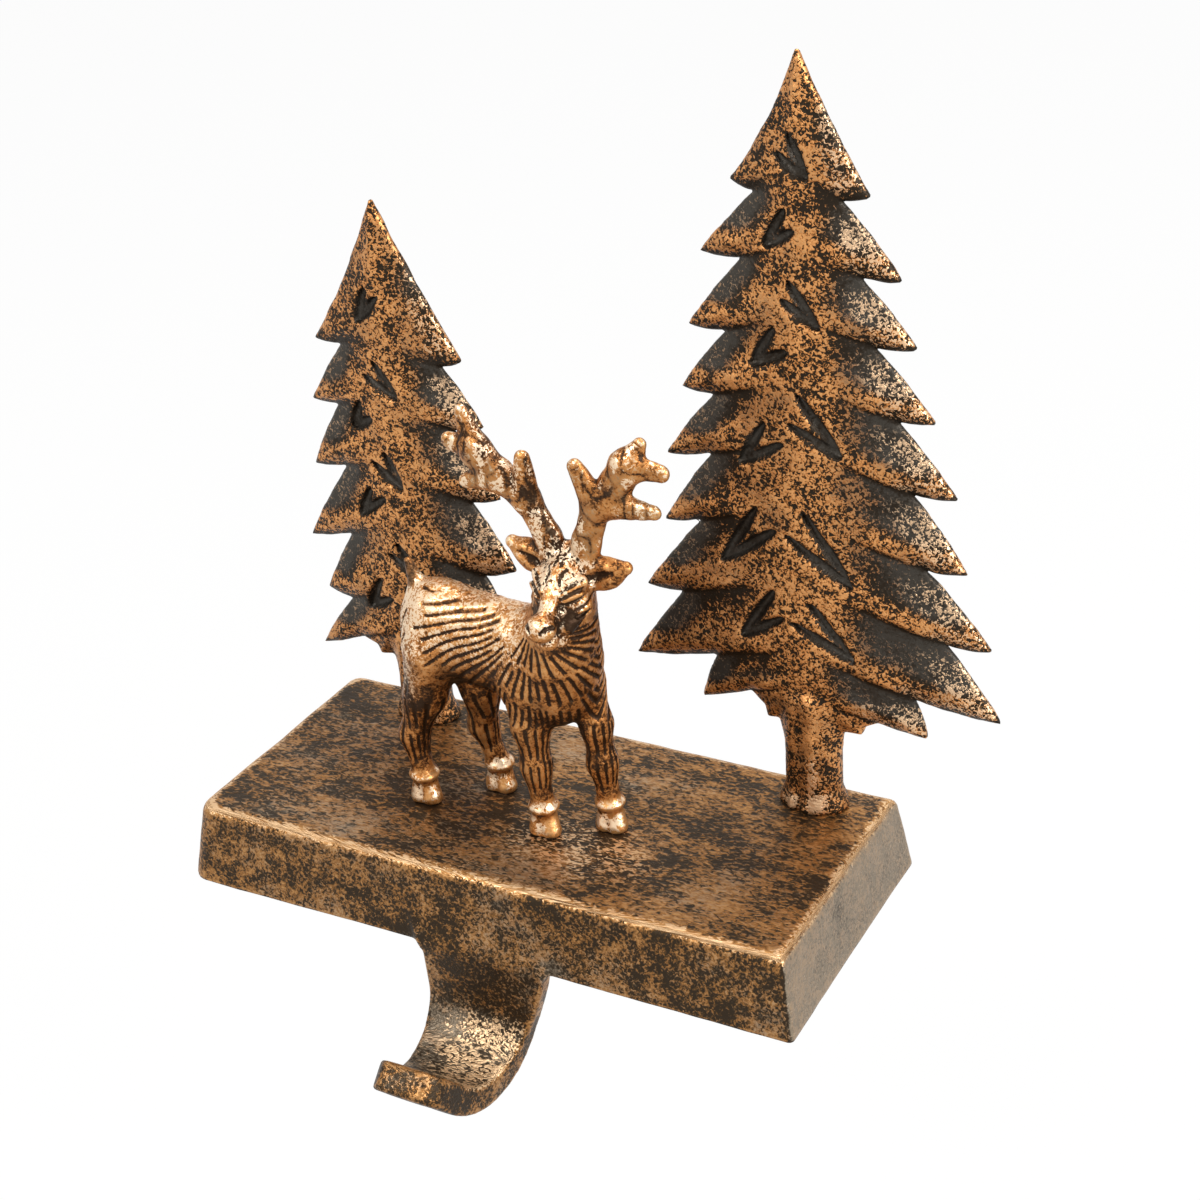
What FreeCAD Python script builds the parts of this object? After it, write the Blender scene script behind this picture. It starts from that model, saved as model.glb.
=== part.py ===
"""Mantel stocking holder: a hollow cast plinth with a J hook, two fir trees and a reindeer.

Millimetres. The origin is the middle of the resting plane, under the non-slip sheet. X runs along the
mantel's edge, -Y points out over the edge to the stocking, and Z is up. The three figures are castings
of their own, and each is drawn down onto the plinth by screws from below.
"""

import FreeCAD, Part
import math
import os

V = FreeCAD.Vector

# Plinth, top face and height
PLINTH_LENGTH = 125.0
PLINTH_DEPTH = 55.3
PLINTH_HEIGHT = 16.6
PLINTH_DRAFT = 2.5
PLINTH_TOP_PLATE = 4.0
PLINTH_EDGE_R = 0.9
CORNER_R_FRONT_LEFT = 4.0
CORNER_R_BACK_LEFT = 3.0
CORNER_R_BACK_RIGHT = 1.4
CORNER_R_FRONT_RIGHT = 1.0

# Hook: its strap isn't symmetric, so its left and right edges each have their own places
HOOK_THICKNESS = 4.2
HOOK_PROUD = 1.0
HOOK_ROOT_LEFT = 12.2
HOOK_ROOT_RIGHT = 13.2
HOOK_BEND_LEFT = 10.0
HOOK_BEND_RIGHT = 7.0
HOOK_TIP_LEFT = 8.5
HOOK_TIP_RIGHT = 5.0
HOOK_STRAIGHT_DROP = 3.1
HOOK_DROP = 9.5
HOOK_BEND_R = 12.0
HOOK_BEND_ANGLE = 138.0
HOOK_TIP_LENGTH = 9.0
HOOK_TIP_CORNER_R = 4.0
HOOK_ROOT_RISE = 8.0
HOOK_SHOULDER_R = 4.0
HOOK_SHOULDER_SINK = 0.4
HOOK_SHOULDER_OVERLAP = 1.5

# Non-slip sheet, which stops short of the back of the hook's strap, and the plinth's sides, which are
# thick enough for the sheet's edge to lie under them
SHEET_THICKNESS = 1.0
STRAP_CLEARANCE = 0.3
SHEET_INSET = HOOK_THICKNESS - HOOK_PROUD + STRAP_CLEARANCE
SHEET_CORNER_R = 3.0
SHEET_LAP = 2.0
PLINTH_WALL = SHEET_INSET + SHEET_LAP

# Screws and what they pass through
TREE_SCREW_R = 2.0
DEER_SCREW_R = 1.25
SCREW_HOLE_CLEARANCE = 0.25
THREAD_CLEARANCE = 0.05
TREE_SCREW_REACH = 10.0
DEER_SCREW_REACH = 5.5
SCREW_HEAD_HEIGHT_RATIO = 1.1
SCREW_HEAD_R_RATIO = 1.75
SCREW_HEAD_CLEARANCE = 0.5
SLOT_WIDTH_RATIO = 0.5
BOSS_HEIGHT = 2.0
BOSS_WALL = 3.0
TAPPED_HOLE_SPARE = 1.5

# Tall tree
TALL_FROM_END = 14.4
TALL_FROM_BACK = 7.15
TALL_HEIGHT = 149.2
TALL_TIERS = 8
TALL_FIRST_TIER_Z = 125.2
TALL_LAST_TIER_Z = 25.8
TALL_FIRST_REACH = 13.0
TALL_LAST_REACH = 37.8
TALL_SKIRT_REACH = 23.3
TALL_SKIRT_DROP = 6.4

# Short tree
SHORT_FROM_END = 23.4
SHORT_FROM_BACK = 7.65
SHORT_HEIGHT = 113.3
SHORT_TIERS = 6
SHORT_FIRST_TIER_Z = 82.7
SHORT_LAST_TIER_Z = 11.8
SHORT_FIRST_REACH = 16.8
SHORT_LAST_REACH = 25.0

# What both trees share
REACH_EXPONENT = 0.85
TIER_SPREAD = 1.05
CROWN_WAIST = 0.42
CROWN_WAIST_THICKNESS = 0.6
CROWN_THICKNESS = 0.8
CROWN_TUCK = 1.0
NOTCH_DEPTH = 8.0
LEAST_OVERHANG = 2.8
LEAST_BRANCH_ROOT = 0.55
TREE_HALF_THICKNESS = 3.9
BRANCH_EDGE = 0.45
BRANCH_TIP_EDGE = 0.36
BRANCH_MID_THICKNESS = 0.66
BRANCH_PROUD_SHARE = 0.26
BRANCH_FOOT_THICKNESS = 0.6
BRANCH_TUCK = 0.6
BRANCH_DROOP_DEG = 14.0
COLLAR_REACH = 9.6
COLLAR_NOTCH = 7.7
COLLAR_DROP = 1.6
TRUNK_HALF_WIDTH = 5.9
TRUNK_HALF_DEPTH = 4.6
TRUNK_TOP_SHARE = 0.8
TRUNK_FOOT_FLARE = 1.3
TRUNK_FOOT_HEIGHT = 5.0

# How round the figures' faceted volumes are, and how a rod's end is drawn in
OVAL_SIDES = 12
ROD_SIDES = 8
ROD_END_REACH = 0.8
ROD_END_SHARE = 0.45

# Reindeer: centre of the four hooves, and the body about it
DEER_X = -3.7
DEER_Y = -4.1
BODY_LENGTH = 43.5
BACK_HEIGHT = 48.0
BODY_HALF_WIDTH = 7.2
BODY_HALF_HEIGHT = 10.2
BODY_SKEW = -0.08
HOOF_R = 3.4
LEG_R = 2.3
NEAR_FORE = (7.9, -4.3)
FAR_FORE = (19.1, 1.8)
NEAR_HIND = (-19.4, -3.3)
FAR_HIND = (-7.5, 5.7)
HEAD_X = 17.6
HEAD_Y = -3.9
POLL_HEIGHT = 61.0
HEAD_LENGTH = 18.0
HEAD_PITCH_DEG = 33.0
HEAD_HALF_WIDTH = 5.3
EAR_REACH = 12.0
EAR_RISE = 2.2
ANTLER_R = 2.0
ANTLER_TIP_R = 1.2

TOP = SHEET_THICKNESS + PLINTH_HEIGHT
TALL_X = PLINTH_LENGTH / 2 - TALL_FROM_END
TALL_Y = PLINTH_DEPTH / 2 - TALL_FROM_BACK
SHORT_X = SHORT_FROM_END - PLINTH_LENGTH / 2
SHORT_Y = PLINTH_DEPTH / 2 - SHORT_FROM_BACK
BODY_MID_Z = BACK_HEIGHT - BODY_HALF_HEIGHT
STRAP_Y = -(PLINTH_DEPTH / 2 + PLINTH_DRAFT + HOOK_PROUD - HOOK_THICKNESS / 2)
NEAR_FORE_XY = (DEER_X + NEAR_FORE[0], DEER_Y + NEAR_FORE[1])
FAR_HIND_XY = (DEER_X + FAR_HIND[0], DEER_Y + FAR_HIND[1])


def arc_point(cx, cy, r, deg):
    """Point on a circle of radius r about (cx, cy)."""
    return V(cx + r * math.cos(math.radians(deg)), cy + r * math.sin(math.radians(deg)), 0)


def rounded_rectangle(length, depth, radii, z):
    """Rectangle about the origin at height z, with corner radii given from front left, anticlockwise."""
    a, b = length / 2, depth / 2
    corners = ((-a, -b, 180), (a, -b, 270), (a, b, 0), (-a, b, 90))
    edges = []
    last = None
    first = None
    for (x, y, start), r in zip(corners, radii):
        cx = x - math.copysign(r, x)
        cy = y - math.copysign(r, y)
        p0 = arc_point(cx, cy, r, start)
        p1 = arc_point(cx, cy, r, start + 45)
        p2 = arc_point(cx, cy, r, start + 90)
        if last is None:
            first = p0
        else:
            edges.append(Part.LineSegment(last, p0).toShape())
        edges.append(Part.Arc(p0, p1, p2).toShape())
        last = p2
    edges.append(Part.LineSegment(last, first).toShape())
    wire = Part.Wire(edges)
    wire.translate(V(0, 0, z))
    return wire


def corner_radii(shrink=0.0):
    """The plinth's four corner radii, less the wall for the inside."""
    outer = (CORNER_R_FRONT_LEFT, CORNER_R_FRONT_RIGHT, CORNER_R_BACK_RIGHT, CORNER_R_BACK_LEFT)
    return [max(r - shrink, 0.8) for r in outer]


def drafted_block(inset, z0, z1):
    """Block between heights z0 and z1 whose sides follow the plinth's draft, inset by the wall."""
    slope = PLINTH_DRAFT / PLINTH_HEIGHT
    wires = []
    for z in (z0, z1):
        grow = 2 * ((TOP - z) * slope - inset)
        radii = corner_radii(inset)
        wires.append(rounded_rectangle(PLINTH_LENGTH + grow, PLINTH_DEPTH + grow, radii, z))
    return Part.makeLoft(wires, True, True)


def screw_places():
    """Every screw: node name, place, screw radius and how far it goes into its figure."""
    return (
        ("tall_tree_screw", (TALL_X, TALL_Y), TREE_SCREW_R, TREE_SCREW_REACH),
        ("short_tree_screw", (SHORT_X, SHORT_Y), TREE_SCREW_R, TREE_SCREW_REACH),
        ("deer_fore_screw", NEAR_FORE_XY, DEER_SCREW_R, DEER_SCREW_REACH),
        ("deer_hind_screw", FAR_HIND_XY, DEER_SCREW_R, DEER_SCREW_REACH),
    )


def seat_height():
    """Height of the boss faces that the screw heads bear on."""
    return TOP - PLINTH_TOP_PLATE - BOSS_HEIGHT


def screw(place, r, reach):
    """Slotted cheese-head screw, head down, its head's top face against the boss."""
    x, y = place
    seat = seat_height()
    head_h = r * SCREW_HEAD_HEIGHT_RATIO
    head_r = r * SCREW_HEAD_R_RATIO
    head = Part.makeCylinder(head_r, head_h, V(x, y, seat - head_h))
    shank = Part.makeCylinder(r, TOP + reach - seat, V(x, y, seat))
    slot_w = r * SLOT_WIDTH_RATIO
    slot = Part.makeBox(2 * head_r, slot_w, head_h / 2, V(x - head_r, y - slot_w / 2, seat - head_h))
    return head.fuse(shank).cut(slot)


def tapped_hole(place, r, reach):
    """What a figure loses for its screw: a blind hole, a little wider and deeper than the shank."""
    x, y = place
    return Part.makeCylinder(r + THREAD_CLEARANCE, reach + TAPPED_HOLE_SPARE, V(x, y, TOP))


def hook_profile():
    """The strap's outline in the YZ plane: down the front wall, round the bend and up to the tip."""
    half = HOOK_THICKNESS / 2
    lean = PLINTH_DRAFT / PLINTH_HEIGHT
    z_root = SHEET_THICKNESS + HOOK_ROOT_RISE
    z_bend = SHEET_THICKNESS - HOOK_DROP
    centre = V(0, STRAP_Y - HOOK_BEND_R, z_bend)

    def on_bend(r, deg):
        a = math.radians(deg)
        return centre + V(0, r * math.cos(a), -r * math.sin(a))

    a = math.radians(HOOK_BEND_ANGLE)
    along = V(0, -math.sin(a), -math.cos(a))
    sides = []
    for y_off in (half, -half):
        r = HOOK_BEND_R + y_off
        end = on_bend(r, HOOK_BEND_ANGLE)
        sides.append({
            "root": V(0, STRAP_Y + y_off + HOOK_ROOT_RISE * lean, z_root),
            "knee": V(0, STRAP_Y + y_off, SHEET_THICKNESS),
            "bend": V(0, STRAP_Y + y_off, z_bend),
            "mid": on_bend(r, HOOK_BEND_ANGLE / 2),
            "end": end,
            "tip": end + along * HOOK_TIP_LENGTH,
        })
    outer, inner = sides
    tip_mid = (outer["tip"] + inner["tip"]) * 0.5 + along * half
    edges = [
        Part.LineSegment(inner["root"], outer["root"]).toShape(),
        Part.LineSegment(outer["root"], outer["knee"]).toShape(),
        Part.LineSegment(outer["knee"], outer["bend"]).toShape(),
        Part.Arc(outer["bend"], outer["mid"], outer["end"]).toShape(),
        Part.LineSegment(outer["end"], outer["tip"]).toShape(),
        Part.Arc(outer["tip"], tip_mid, inner["tip"]).toShape(),
        Part.LineSegment(inner["tip"], inner["end"]).toShape(),
        Part.Arc(inner["end"], inner["mid"], inner["bend"]).toShape(),
        Part.LineSegment(inner["bend"], inner["knee"]).toShape(),
        Part.LineSegment(inner["knee"], inner["root"]).toShape(),
    ]
    reach = STRAP_Y - tip_mid.y
    return Part.Face(Part.Wire(edges)), reach


def hook_plan(reach):
    """The strap's outline from above: it narrows towards the tip, more from the right than the left."""
    y0 = STRAP_Y + HOOK_THICKNESS
    y1 = STRAP_Y - reach
    root_left, root_right = HOOK_ROOT_LEFT, HOOK_ROOT_RIGHT
    left, right = HOOK_TIP_LEFT, HOOK_TIP_RIGHT
    r = HOOK_TIP_CORNER_R
    k = r * (1 - math.sqrt(0.5))
    y_straight = STRAP_Y - HOOK_THICKNESS / 2
    edges = [
        Part.LineSegment(V(-root_left, y0, 0), V(-root_left, y_straight, 0)).toShape(),
        Part.LineSegment(V(-root_left, y_straight, 0), V(-left, y1 + r, 0)).toShape(),
        Part.Arc(V(-left, y1 + r, 0), V(-left + k, y1 + k, 0), V(-left + r, y1, 0)).toShape(),
        Part.LineSegment(V(-left + r, y1, 0), V(right - r, y1, 0)).toShape(),
        Part.Arc(V(right - r, y1, 0), V(right - k, y1 + k, 0), V(right, y1 + r, 0)).toShape(),
        Part.LineSegment(V(right, y1 + r, 0), V(root_right, y_straight, 0)).toShape(),
        Part.LineSegment(V(root_right, y_straight, 0), V(root_right, y0, 0)).toShape(),
        Part.LineSegment(V(root_right, y0, 0), V(-root_left, y0, 0)).toShape(),
    ]
    return Part.Face(Part.Wire(edges))


def hook_front():
    """The strap's outline from the front: it narrows downwards, more from the right than the left."""
    root_left, root_right = HOOK_ROOT_LEFT, HOOK_ROOT_RIGHT
    z_top = SHEET_THICKNESS + HOOK_ROOT_RISE
    z_straight = SHEET_THICKNESS - HOOK_STRAIGHT_DROP
    z_low = SHEET_THICKNESS - HOOK_DROP - HOOK_BEND_R - HOOK_THICKNESS
    left, right = HOOK_BEND_LEFT, HOOK_BEND_RIGHT
    return Part.Face(Part.makePolygon([
        V(-root_left, 0, z_top),
        V(-root_left, 0, z_straight),
        V(-left, 0, z_low),
        V(right, 0, z_low),
        V(root_right, 0, z_straight),
        V(root_right, 0, z_top),
        V(-root_left, 0, z_top),
    ]))


def hook():
    """J strap: its side profile carried across its width, trimmed to its outlines from above and front."""
    profile, reach = hook_profile()
    width = HOOK_ROOT_LEFT + HOOK_ROOT_RIGHT
    profile.translate(V(-width, 0, 0))
    strap = profile.extrude(V(2 * width, 0, 0))
    plan = hook_plan(reach)
    plan.translate(V(0, 0, -2 * PLINTH_LENGTH))
    strap = strap.common(plan.extrude(V(0, 0, 4 * PLINTH_LENGTH)))
    front = hook_front()
    front.translate(V(0, 2 * PLINTH_DEPTH, 0))
    return strap.common(front.extrude(V(0, -4 * PLINTH_DEPTH, 0)))


def hook_shoulders():
    """Concave fillets where the strap leaves the plinth's lower edge."""
    r = HOOK_SHOULDER_R
    over = HOOK_SHOULDER_OVERLAP
    z = SHEET_THICKNESS
    wedges = []
    for side, root in ((1, HOOK_ROOT_RIGHT), (-1, HOOK_ROOT_LEFT)):
        w = root - HOOK_SHOULDER_SINK
        inner_top = V(side * (w - over), 0, z + over)
        outer_top = V(side * (w + r), 0, z + over)
        outer = V(side * (w + r), 0, z)
        low = V(side * w, 0, z - r)
        inner_low = V(side * (w - over), 0, z - r)
        k = r * (1 - math.sqrt(0.5))
        edges = [
            Part.LineSegment(inner_top, outer_top).toShape(),
            Part.LineSegment(outer_top, outer).toShape(),
            Part.Arc(outer, V(side * (w + k), 0, z - k), low).toShape(),
            Part.LineSegment(low, inner_low).toShape(),
            Part.LineSegment(inner_low, inner_top).toShape(),
        ]
        face = Part.Face(Part.Wire(edges))
        back = HOOK_THICKNESS - HOOK_PROUD
        face.translate(V(0, STRAP_Y + HOOK_THICKNESS / 2, 0))
        wedges.append(face.extrude(V(0, -back, 0)))
    return wedges


def base_with_hook():
    """Hollow drafted plinth with its screw bosses, and the hook cast in one with the front wall."""
    body = drafted_block(0, SHEET_THICKNESS, TOP)
    rim = [e for e in body.Edges if abs(e.CenterOfMass.z - TOP) < 1e-6]
    body = body.makeFillet(PLINTH_EDGE_R, rim)
    body = body.cut(drafted_block(PLINTH_WALL, SHEET_THICKNESS, TOP - PLINTH_TOP_PLATE))
    solid_inside = drafted_block(PLINTH_WALL / 2, SHEET_THICKNESS, TOP - PLINTH_TOP_PLATE / 2)
    seat = seat_height()
    for _, (x, y), r, _ in screw_places():
        boss_r = r + SCREW_HOLE_CLEARANCE + BOSS_WALL
        boss = Part.makeCylinder(boss_r, BOSS_HEIGHT + 1.0, V(x, y, seat))
        body = body.fuse(boss.common(solid_inside))
    strap = hook()
    body = body.multiFuse([strap] + hook_shoulders())
    for _, (x, y), r, _ in screw_places():
        hole = Part.makeCylinder(r + SCREW_HOLE_CLEARANCE, PLINTH_HEIGHT, V(x, y, SHEET_THICKNESS))
        pocket_r = r * SCREW_HEAD_R_RATIO + SCREW_HEAD_CLEARANCE
        pocket = Part.makeCylinder(pocket_r, seat - SHEET_THICKNESS, V(x, y, SHEET_THICKNESS))
        body = body.cut(hole.fuse(pocket))
    return body


def non_slip_sheet():
    """Thin sheet under the plinth's rim, set in far enough to clear the back of the hook's strap."""
    length = PLINTH_LENGTH + 2 * (PLINTH_DRAFT - SHEET_INSET)
    depth = PLINTH_DEPTH + 2 * (PLINTH_DRAFT - SHEET_INSET)
    outline = rounded_rectangle(length, depth, [SHEET_CORNER_R] * 4, 0)
    return Part.Face(outline).extrude(V(0, 0, SHEET_THICKNESS))


def tier_heights(first, last, count):
    """Heights of a tree's branch tips: the tiers open out a little towards the foot."""
    return [first + (last - first) * (k / (count - 1)) ** TIER_SPREAD for k in range(count)]


def tier_reaches(first, last, count):
    """How far each tier's tips stand out from the trunk line."""
    return [first + (last - first) * (k / (count - 1)) ** REACH_EXPONENT for k in range(count)]


def faceted_solid(rings):
    """Closed solid through rings of points, each band between two rings cut into flat triangles."""
    faces = []

    def triangle(a, b, c):
        if (b - a).cross(c - a).Length > 1e-7:
            faces.append(Part.Face(Part.makePolygon([a, b, c, a])))

    count = len(rings[0])
    for lower, upper in zip(rings, rings[1:]):
        for i in range(count):
            j = (i + 1) % count
            triangle(lower[i], lower[j], upper[j])
            triangle(lower[i], upper[j], upper[i])
    for cap in (rings[0], rings[-1]):
        for i in range(1, count - 1):
            triangle(cap[0], cap[i], cap[i + 1])
    shell = Part.Shell(faces)
    shell.sewShape()
    solid = Part.Solid(shell)
    if solid.Volume < 0:
        solid.reverse()
    return solid


def joined(body, solids):
    """The body with each solid fused on in turn."""
    for solid in solids:
        body = body.fuse(solid)
    return body


def oval_solid(sections, up, count=OVAL_SIDES):
    """Faceted solid through ovals given as (centre, direction, half side, half up)."""
    rings = []
    for centre, along, half_side, half_up in sections:
        side = up.cross(along)
        side.normalize()
        lift = along.cross(side)
        lift.normalize()
        ring = []
        for i in range(count):
            a = 2 * math.pi * (i + 0.5) / count
            ring.append(centre + side * (half_side * math.cos(a)) + lift * (half_up * math.sin(a)))
        rings.append(ring)
    return faceted_solid(rings)


def blade_ring(x, z_up, z_low, half, edge):
    """Section of a branch across X: thin where it tucks under the tier above, proud near its foot."""
    proud_z = z_low + BRANCH_PROUD_SHARE * (z_up - z_low)
    foot = BRANCH_FOOT_THICKNESS * half
    return [
        V(x, -edge, z_up),
        V(x, -half, proud_z),
        V(x, -foot, z_low),
        V(x, foot, z_low),
        V(x, half, proud_z),
        V(x, edge, z_up),
    ]


def branch_tip(x, z):
    """Section of a branch at its blunt tip."""
    edge = BRANCH_TIP_EDGE
    return blade_ring(x, z + 2 * edge, z, edge, edge)


def tier(reach, notch_above, z_above, z_tip):
    """One tier, a pair of drooping branches from tip to tip through the trunk line."""
    droop = math.tan(math.radians(BRANCH_DROOP_DEG))
    mid = max(reach - NOTCH_DEPTH, LEAST_BRANCH_ROOT * reach)
    slope = (z_above - z_tip) / (reach - notch_above)
    z_mid = min(z_above, z_tip + slope * (reach - mid))
    z_top = z_above + BRANCH_TUCK * (z_above - z_tip)
    half = TREE_HALF_THICKNESS
    mid_half = BRANCH_MID_THICKNESS * half
    return faceted_solid([
        branch_tip(-reach, z_tip),
        blade_ring(-mid, z_mid, z_tip, mid_half, BRANCH_EDGE),
        blade_ring(0, z_top, z_tip + mid * droop, half, BRANCH_EDGE),
        blade_ring(mid, z_mid, z_tip, mid_half, BRANCH_EDGE),
        branch_tip(reach, z_tip),
    ])


def crown(reach, z_tip, height):
    """Top of the tree: slightly hollow edges up to a blunt point."""
    half = CROWN_THICKNESS * TREE_HALF_THICKNESS
    waist_half = CROWN_WAIST_THICKNESS * TREE_HALF_THICKNESS
    waist = CROWN_WAIST * reach
    z_mid = (z_tip + height) / 2
    return faceted_solid([
        branch_tip(-reach, z_tip),
        blade_ring(-waist, z_mid, z_tip, waist_half, BRANCH_EDGE),
        blade_ring(0, height, z_tip - CROWN_TUCK, half, BRANCH_EDGE),
        blade_ring(waist, z_mid, z_tip, waist_half, BRANCH_EDGE),
        branch_tip(reach, z_tip),
    ])


def trunk(z_top):
    """Oval trunk with a flared foot."""
    up = V(0, 0, 1)
    foot_w = TRUNK_HALF_WIDTH + TRUNK_FOOT_FLARE
    foot_d = TRUNK_HALF_DEPTH + TRUNK_FOOT_FLARE / 2
    top_w = TRUNK_TOP_SHARE * TRUNK_HALF_WIDTH
    top_d = TRUNK_TOP_SHARE * TREE_HALF_THICKNESS
    return oval_solid([
        (V(0, 0, 0), up, foot_w, foot_d),
        (V(0, 0, TRUNK_FOOT_HEIGHT), up, TRUNK_HALF_WIDTH, TRUNK_HALF_DEPTH),
        (V(0, 0, z_top), up, top_w, top_d),
    ], V(0, 1, 0))


def tree(place, height, heights, reaches, hole):
    """Fir tree with drooping branches in a plane along the mantel, two-sided, on an oval trunk."""
    solids = []
    for k in range(1, len(heights)):
        notch_above = min(reaches[k - 1] - NOTCH_DEPTH, reaches[k] - LEAST_OVERHANG)
        solids.append(tier(reaches[k], notch_above, heights[k - 1], heights[k]))
    collar_top = heights[-1] + NOTCH_DEPTH / 2
    solids.append(tier(COLLAR_REACH, COLLAR_NOTCH, collar_top, heights[-1] - COLLAR_DROP))
    solids.append(trunk(heights[-3]))
    body = joined(crown(reaches[0], heights[0], height), solids)
    body.translate(V(place[0], place[1], TOP))
    return body.cut(hole)


def tapered_rod(start, stop, r0, r1):
    """Faceted rod from start to stop, its far end drawn in to a blunt point."""
    along = stop - start
    along.normalize()
    up = V(0, 1, 0)
    end_r = ROD_END_SHARE * r1
    sections = [
        (start, along, r0, r0),
        (stop, along, r1, r1),
        (stop + along * (ROD_END_REACH * r1), along, end_r, end_r),
    ]
    return oval_solid(sections, up, ROD_SIDES)


def deer_body():
    """Barrel of the body, from the rump to the breast."""
    half = BODY_LENGTH / 2
    w = BODY_HALF_WIDTH
    h = BODY_HALF_HEIGHT
    # place along the body, height of the middle line, share of the half width and of the half height
    stations = (
        (-1.00, 1.2, 0.34, 0.36),
        (-0.93, 0.8, 0.70, 0.70),
        (-0.78, 0.4, 0.94, 0.95),
        (-0.40, 0.0, 0.98, 1.00),
        (0.00, -0.8, 1.00, 1.00),
        (0.38, -1.9, 1.04, 1.13),
        (0.68, -2.2, 0.98, 1.10),
        (0.86, -1.6, 0.76, 0.90),
        (0.96, -0.8, 0.38, 0.50),
    )
    sections = []
    for share, lift, kw, kh in stations:
        x = share * half
        centre = V(x, BODY_SKEW * x, BODY_MID_Z + lift)
        sections.append((centre, V(1, BODY_SKEW, 0), w * kw, h * kh))
    return oval_solid(sections, V(0, 0, 1))


def deer_neck():
    """Upright neck from the shoulders to behind the ears."""
    x0 = 0.55 * BODY_LENGTH / 2
    rise = POLL_HEIGHT - BODY_MID_Z
    # share of the rise, share of the way forward to the head, half width and half length
    stations = (
        (-0.10, 0.00, 6.6, 7.6),
        (0.28, 0.40, 6.0, 6.5),
        (0.60, 0.68, 5.1, 5.3),
        (0.92, 0.86, 4.6, 4.5),
    )
    sections = []
    for up, share, wide, long in stations:
        centre = V(x0 + (HEAD_X - x0) * share, -1.0 + (HEAD_Y + 2.2) * share, BODY_MID_Z + rise * up)
        sections.append((centre, V(0, -0.1, 1), wide, long))
    return oval_solid(sections, V(1, 0, 0))


def head_frame():
    """Poll, direction to the nose and direction out of the forehead."""
    a = math.radians(HEAD_PITCH_DEG)
    poll = V(HEAD_X, HEAD_Y, POLL_HEIGHT)
    forward = V(0, -math.cos(a), -math.sin(a))
    out = V(0, -math.sin(a), math.cos(a))
    return poll, forward, out


def deer_head():
    """Head turned to the front of the mantel, from the cranium to the blunt muzzle."""
    poll, forward, out = head_frame()
    w = HEAD_HALF_WIDTH
    # share of the head's length, lift towards the forehead, half width and half depth
    stations = (
        (-0.24, -1.0, 0.42, 0.42),
        (-0.14, -0.6, 0.78, 0.80),
        (0.05, -0.2, 0.94, 0.98),
        (0.28, -0.5, 1.00, 1.02),
        (0.52, -0.9, 0.84, 0.86),
        (0.76, -0.8, 0.68, 0.68),
        (0.92, -0.7, 0.70, 0.62),
        (1.00, -0.8, 0.44, 0.36),
    )
    sections = []
    for t, lift, kw, kh in stations:
        centre = poll + forward * (t * HEAD_LENGTH) + out * lift
        sections.append((centre, forward, w * kw, w * kh))
    return oval_solid(sections, out)


def deer_ear(side):
    """Leaf-shaped ear that stands out to one side."""
    root = V(HEAD_X + side * HEAD_HALF_WIDTH * 0.7, HEAD_Y - 0.3, POLL_HEIGHT - 1.6)
    tip = V(HEAD_X + side * EAR_REACH, HEAD_Y + 0.6, POLL_HEIGHT + EAR_RISE)
    along = tip - root
    span = along.Length
    along.normalize()
    # share of the length, half width and half thickness
    stations = ((0.0, 1.7, 1.3), (0.3, 2.4, 1.4), (0.65, 2.3, 1.2), (0.9, 1.4, 0.8), (1.0, 0.5, 0.4))
    sections = [(root + along * (t * span), along, thick, wide) for t, wide, thick in stations]
    return oval_solid(sections, V(0, 0, 1), ROD_SIDES)


def antler(points):
    """Branched antler: beam, inner tine, and a hand with two tips over a low outer tine."""
    place = {}
    for name, (x, rise) in points.items():
        place[name] = V(HEAD_X + x, HEAD_Y, POLL_HEIGHT + rise)
    r = ANTLER_R
    tip = ANTLER_TIP_R
    rods = [
        tapered_rod(place["root"], place["fork"], r * 1.25, r),
        tapered_rod(place["fork"], place["inner_tip"], r, tip),
        tapered_rod(place["fork"], place["hand"], r * 0.95, r * 0.9),
        tapered_rod(place["hand"], place["palm"], r * 0.9, r * 0.85),
        tapered_rod(place["palm"], place["top_tip"], r * 0.85, tip),
        tapered_rod(place["palm"], place["outer_tip"], r * 0.8, tip),
        tapered_rod(place["low_fork"], place["low_tip"], r * 0.85, tip),
    ]
    return rods


# Antler points: across from the head's middle plane, and above the poll
RIGHT_ANTLER = {
    "root": (2.9, 1.0),
    "fork": (6.6, 13.6),
    "inner_tip": (2.8, 19.6),
    "hand": (10.9, 18.3),
    "palm": (13.6, 21.6),
    "top_tip": (15.3, 25.4),
    "outer_tip": (19.4, 20.4),
    "low_fork": (6.6, 13.6),
    "low_tip": (18.4, 13.4),
}

LEFT_ANTLER = {
    "root": (-2.9, 1.0),
    "fork": (-7.8, 11.6),
    "inner_tip": (-7.0, 19.2),
    "hand": (-12.9, 14.3),
    "palm": (-17.0, 18.4),
    "top_tip": (-20.4, 26.0),
    "outer_tip": (-23.0, 20.4),
    "low_fork": (-12.9, 14.3),
    "low_tip": (-19.6, 12.8),
}


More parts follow.
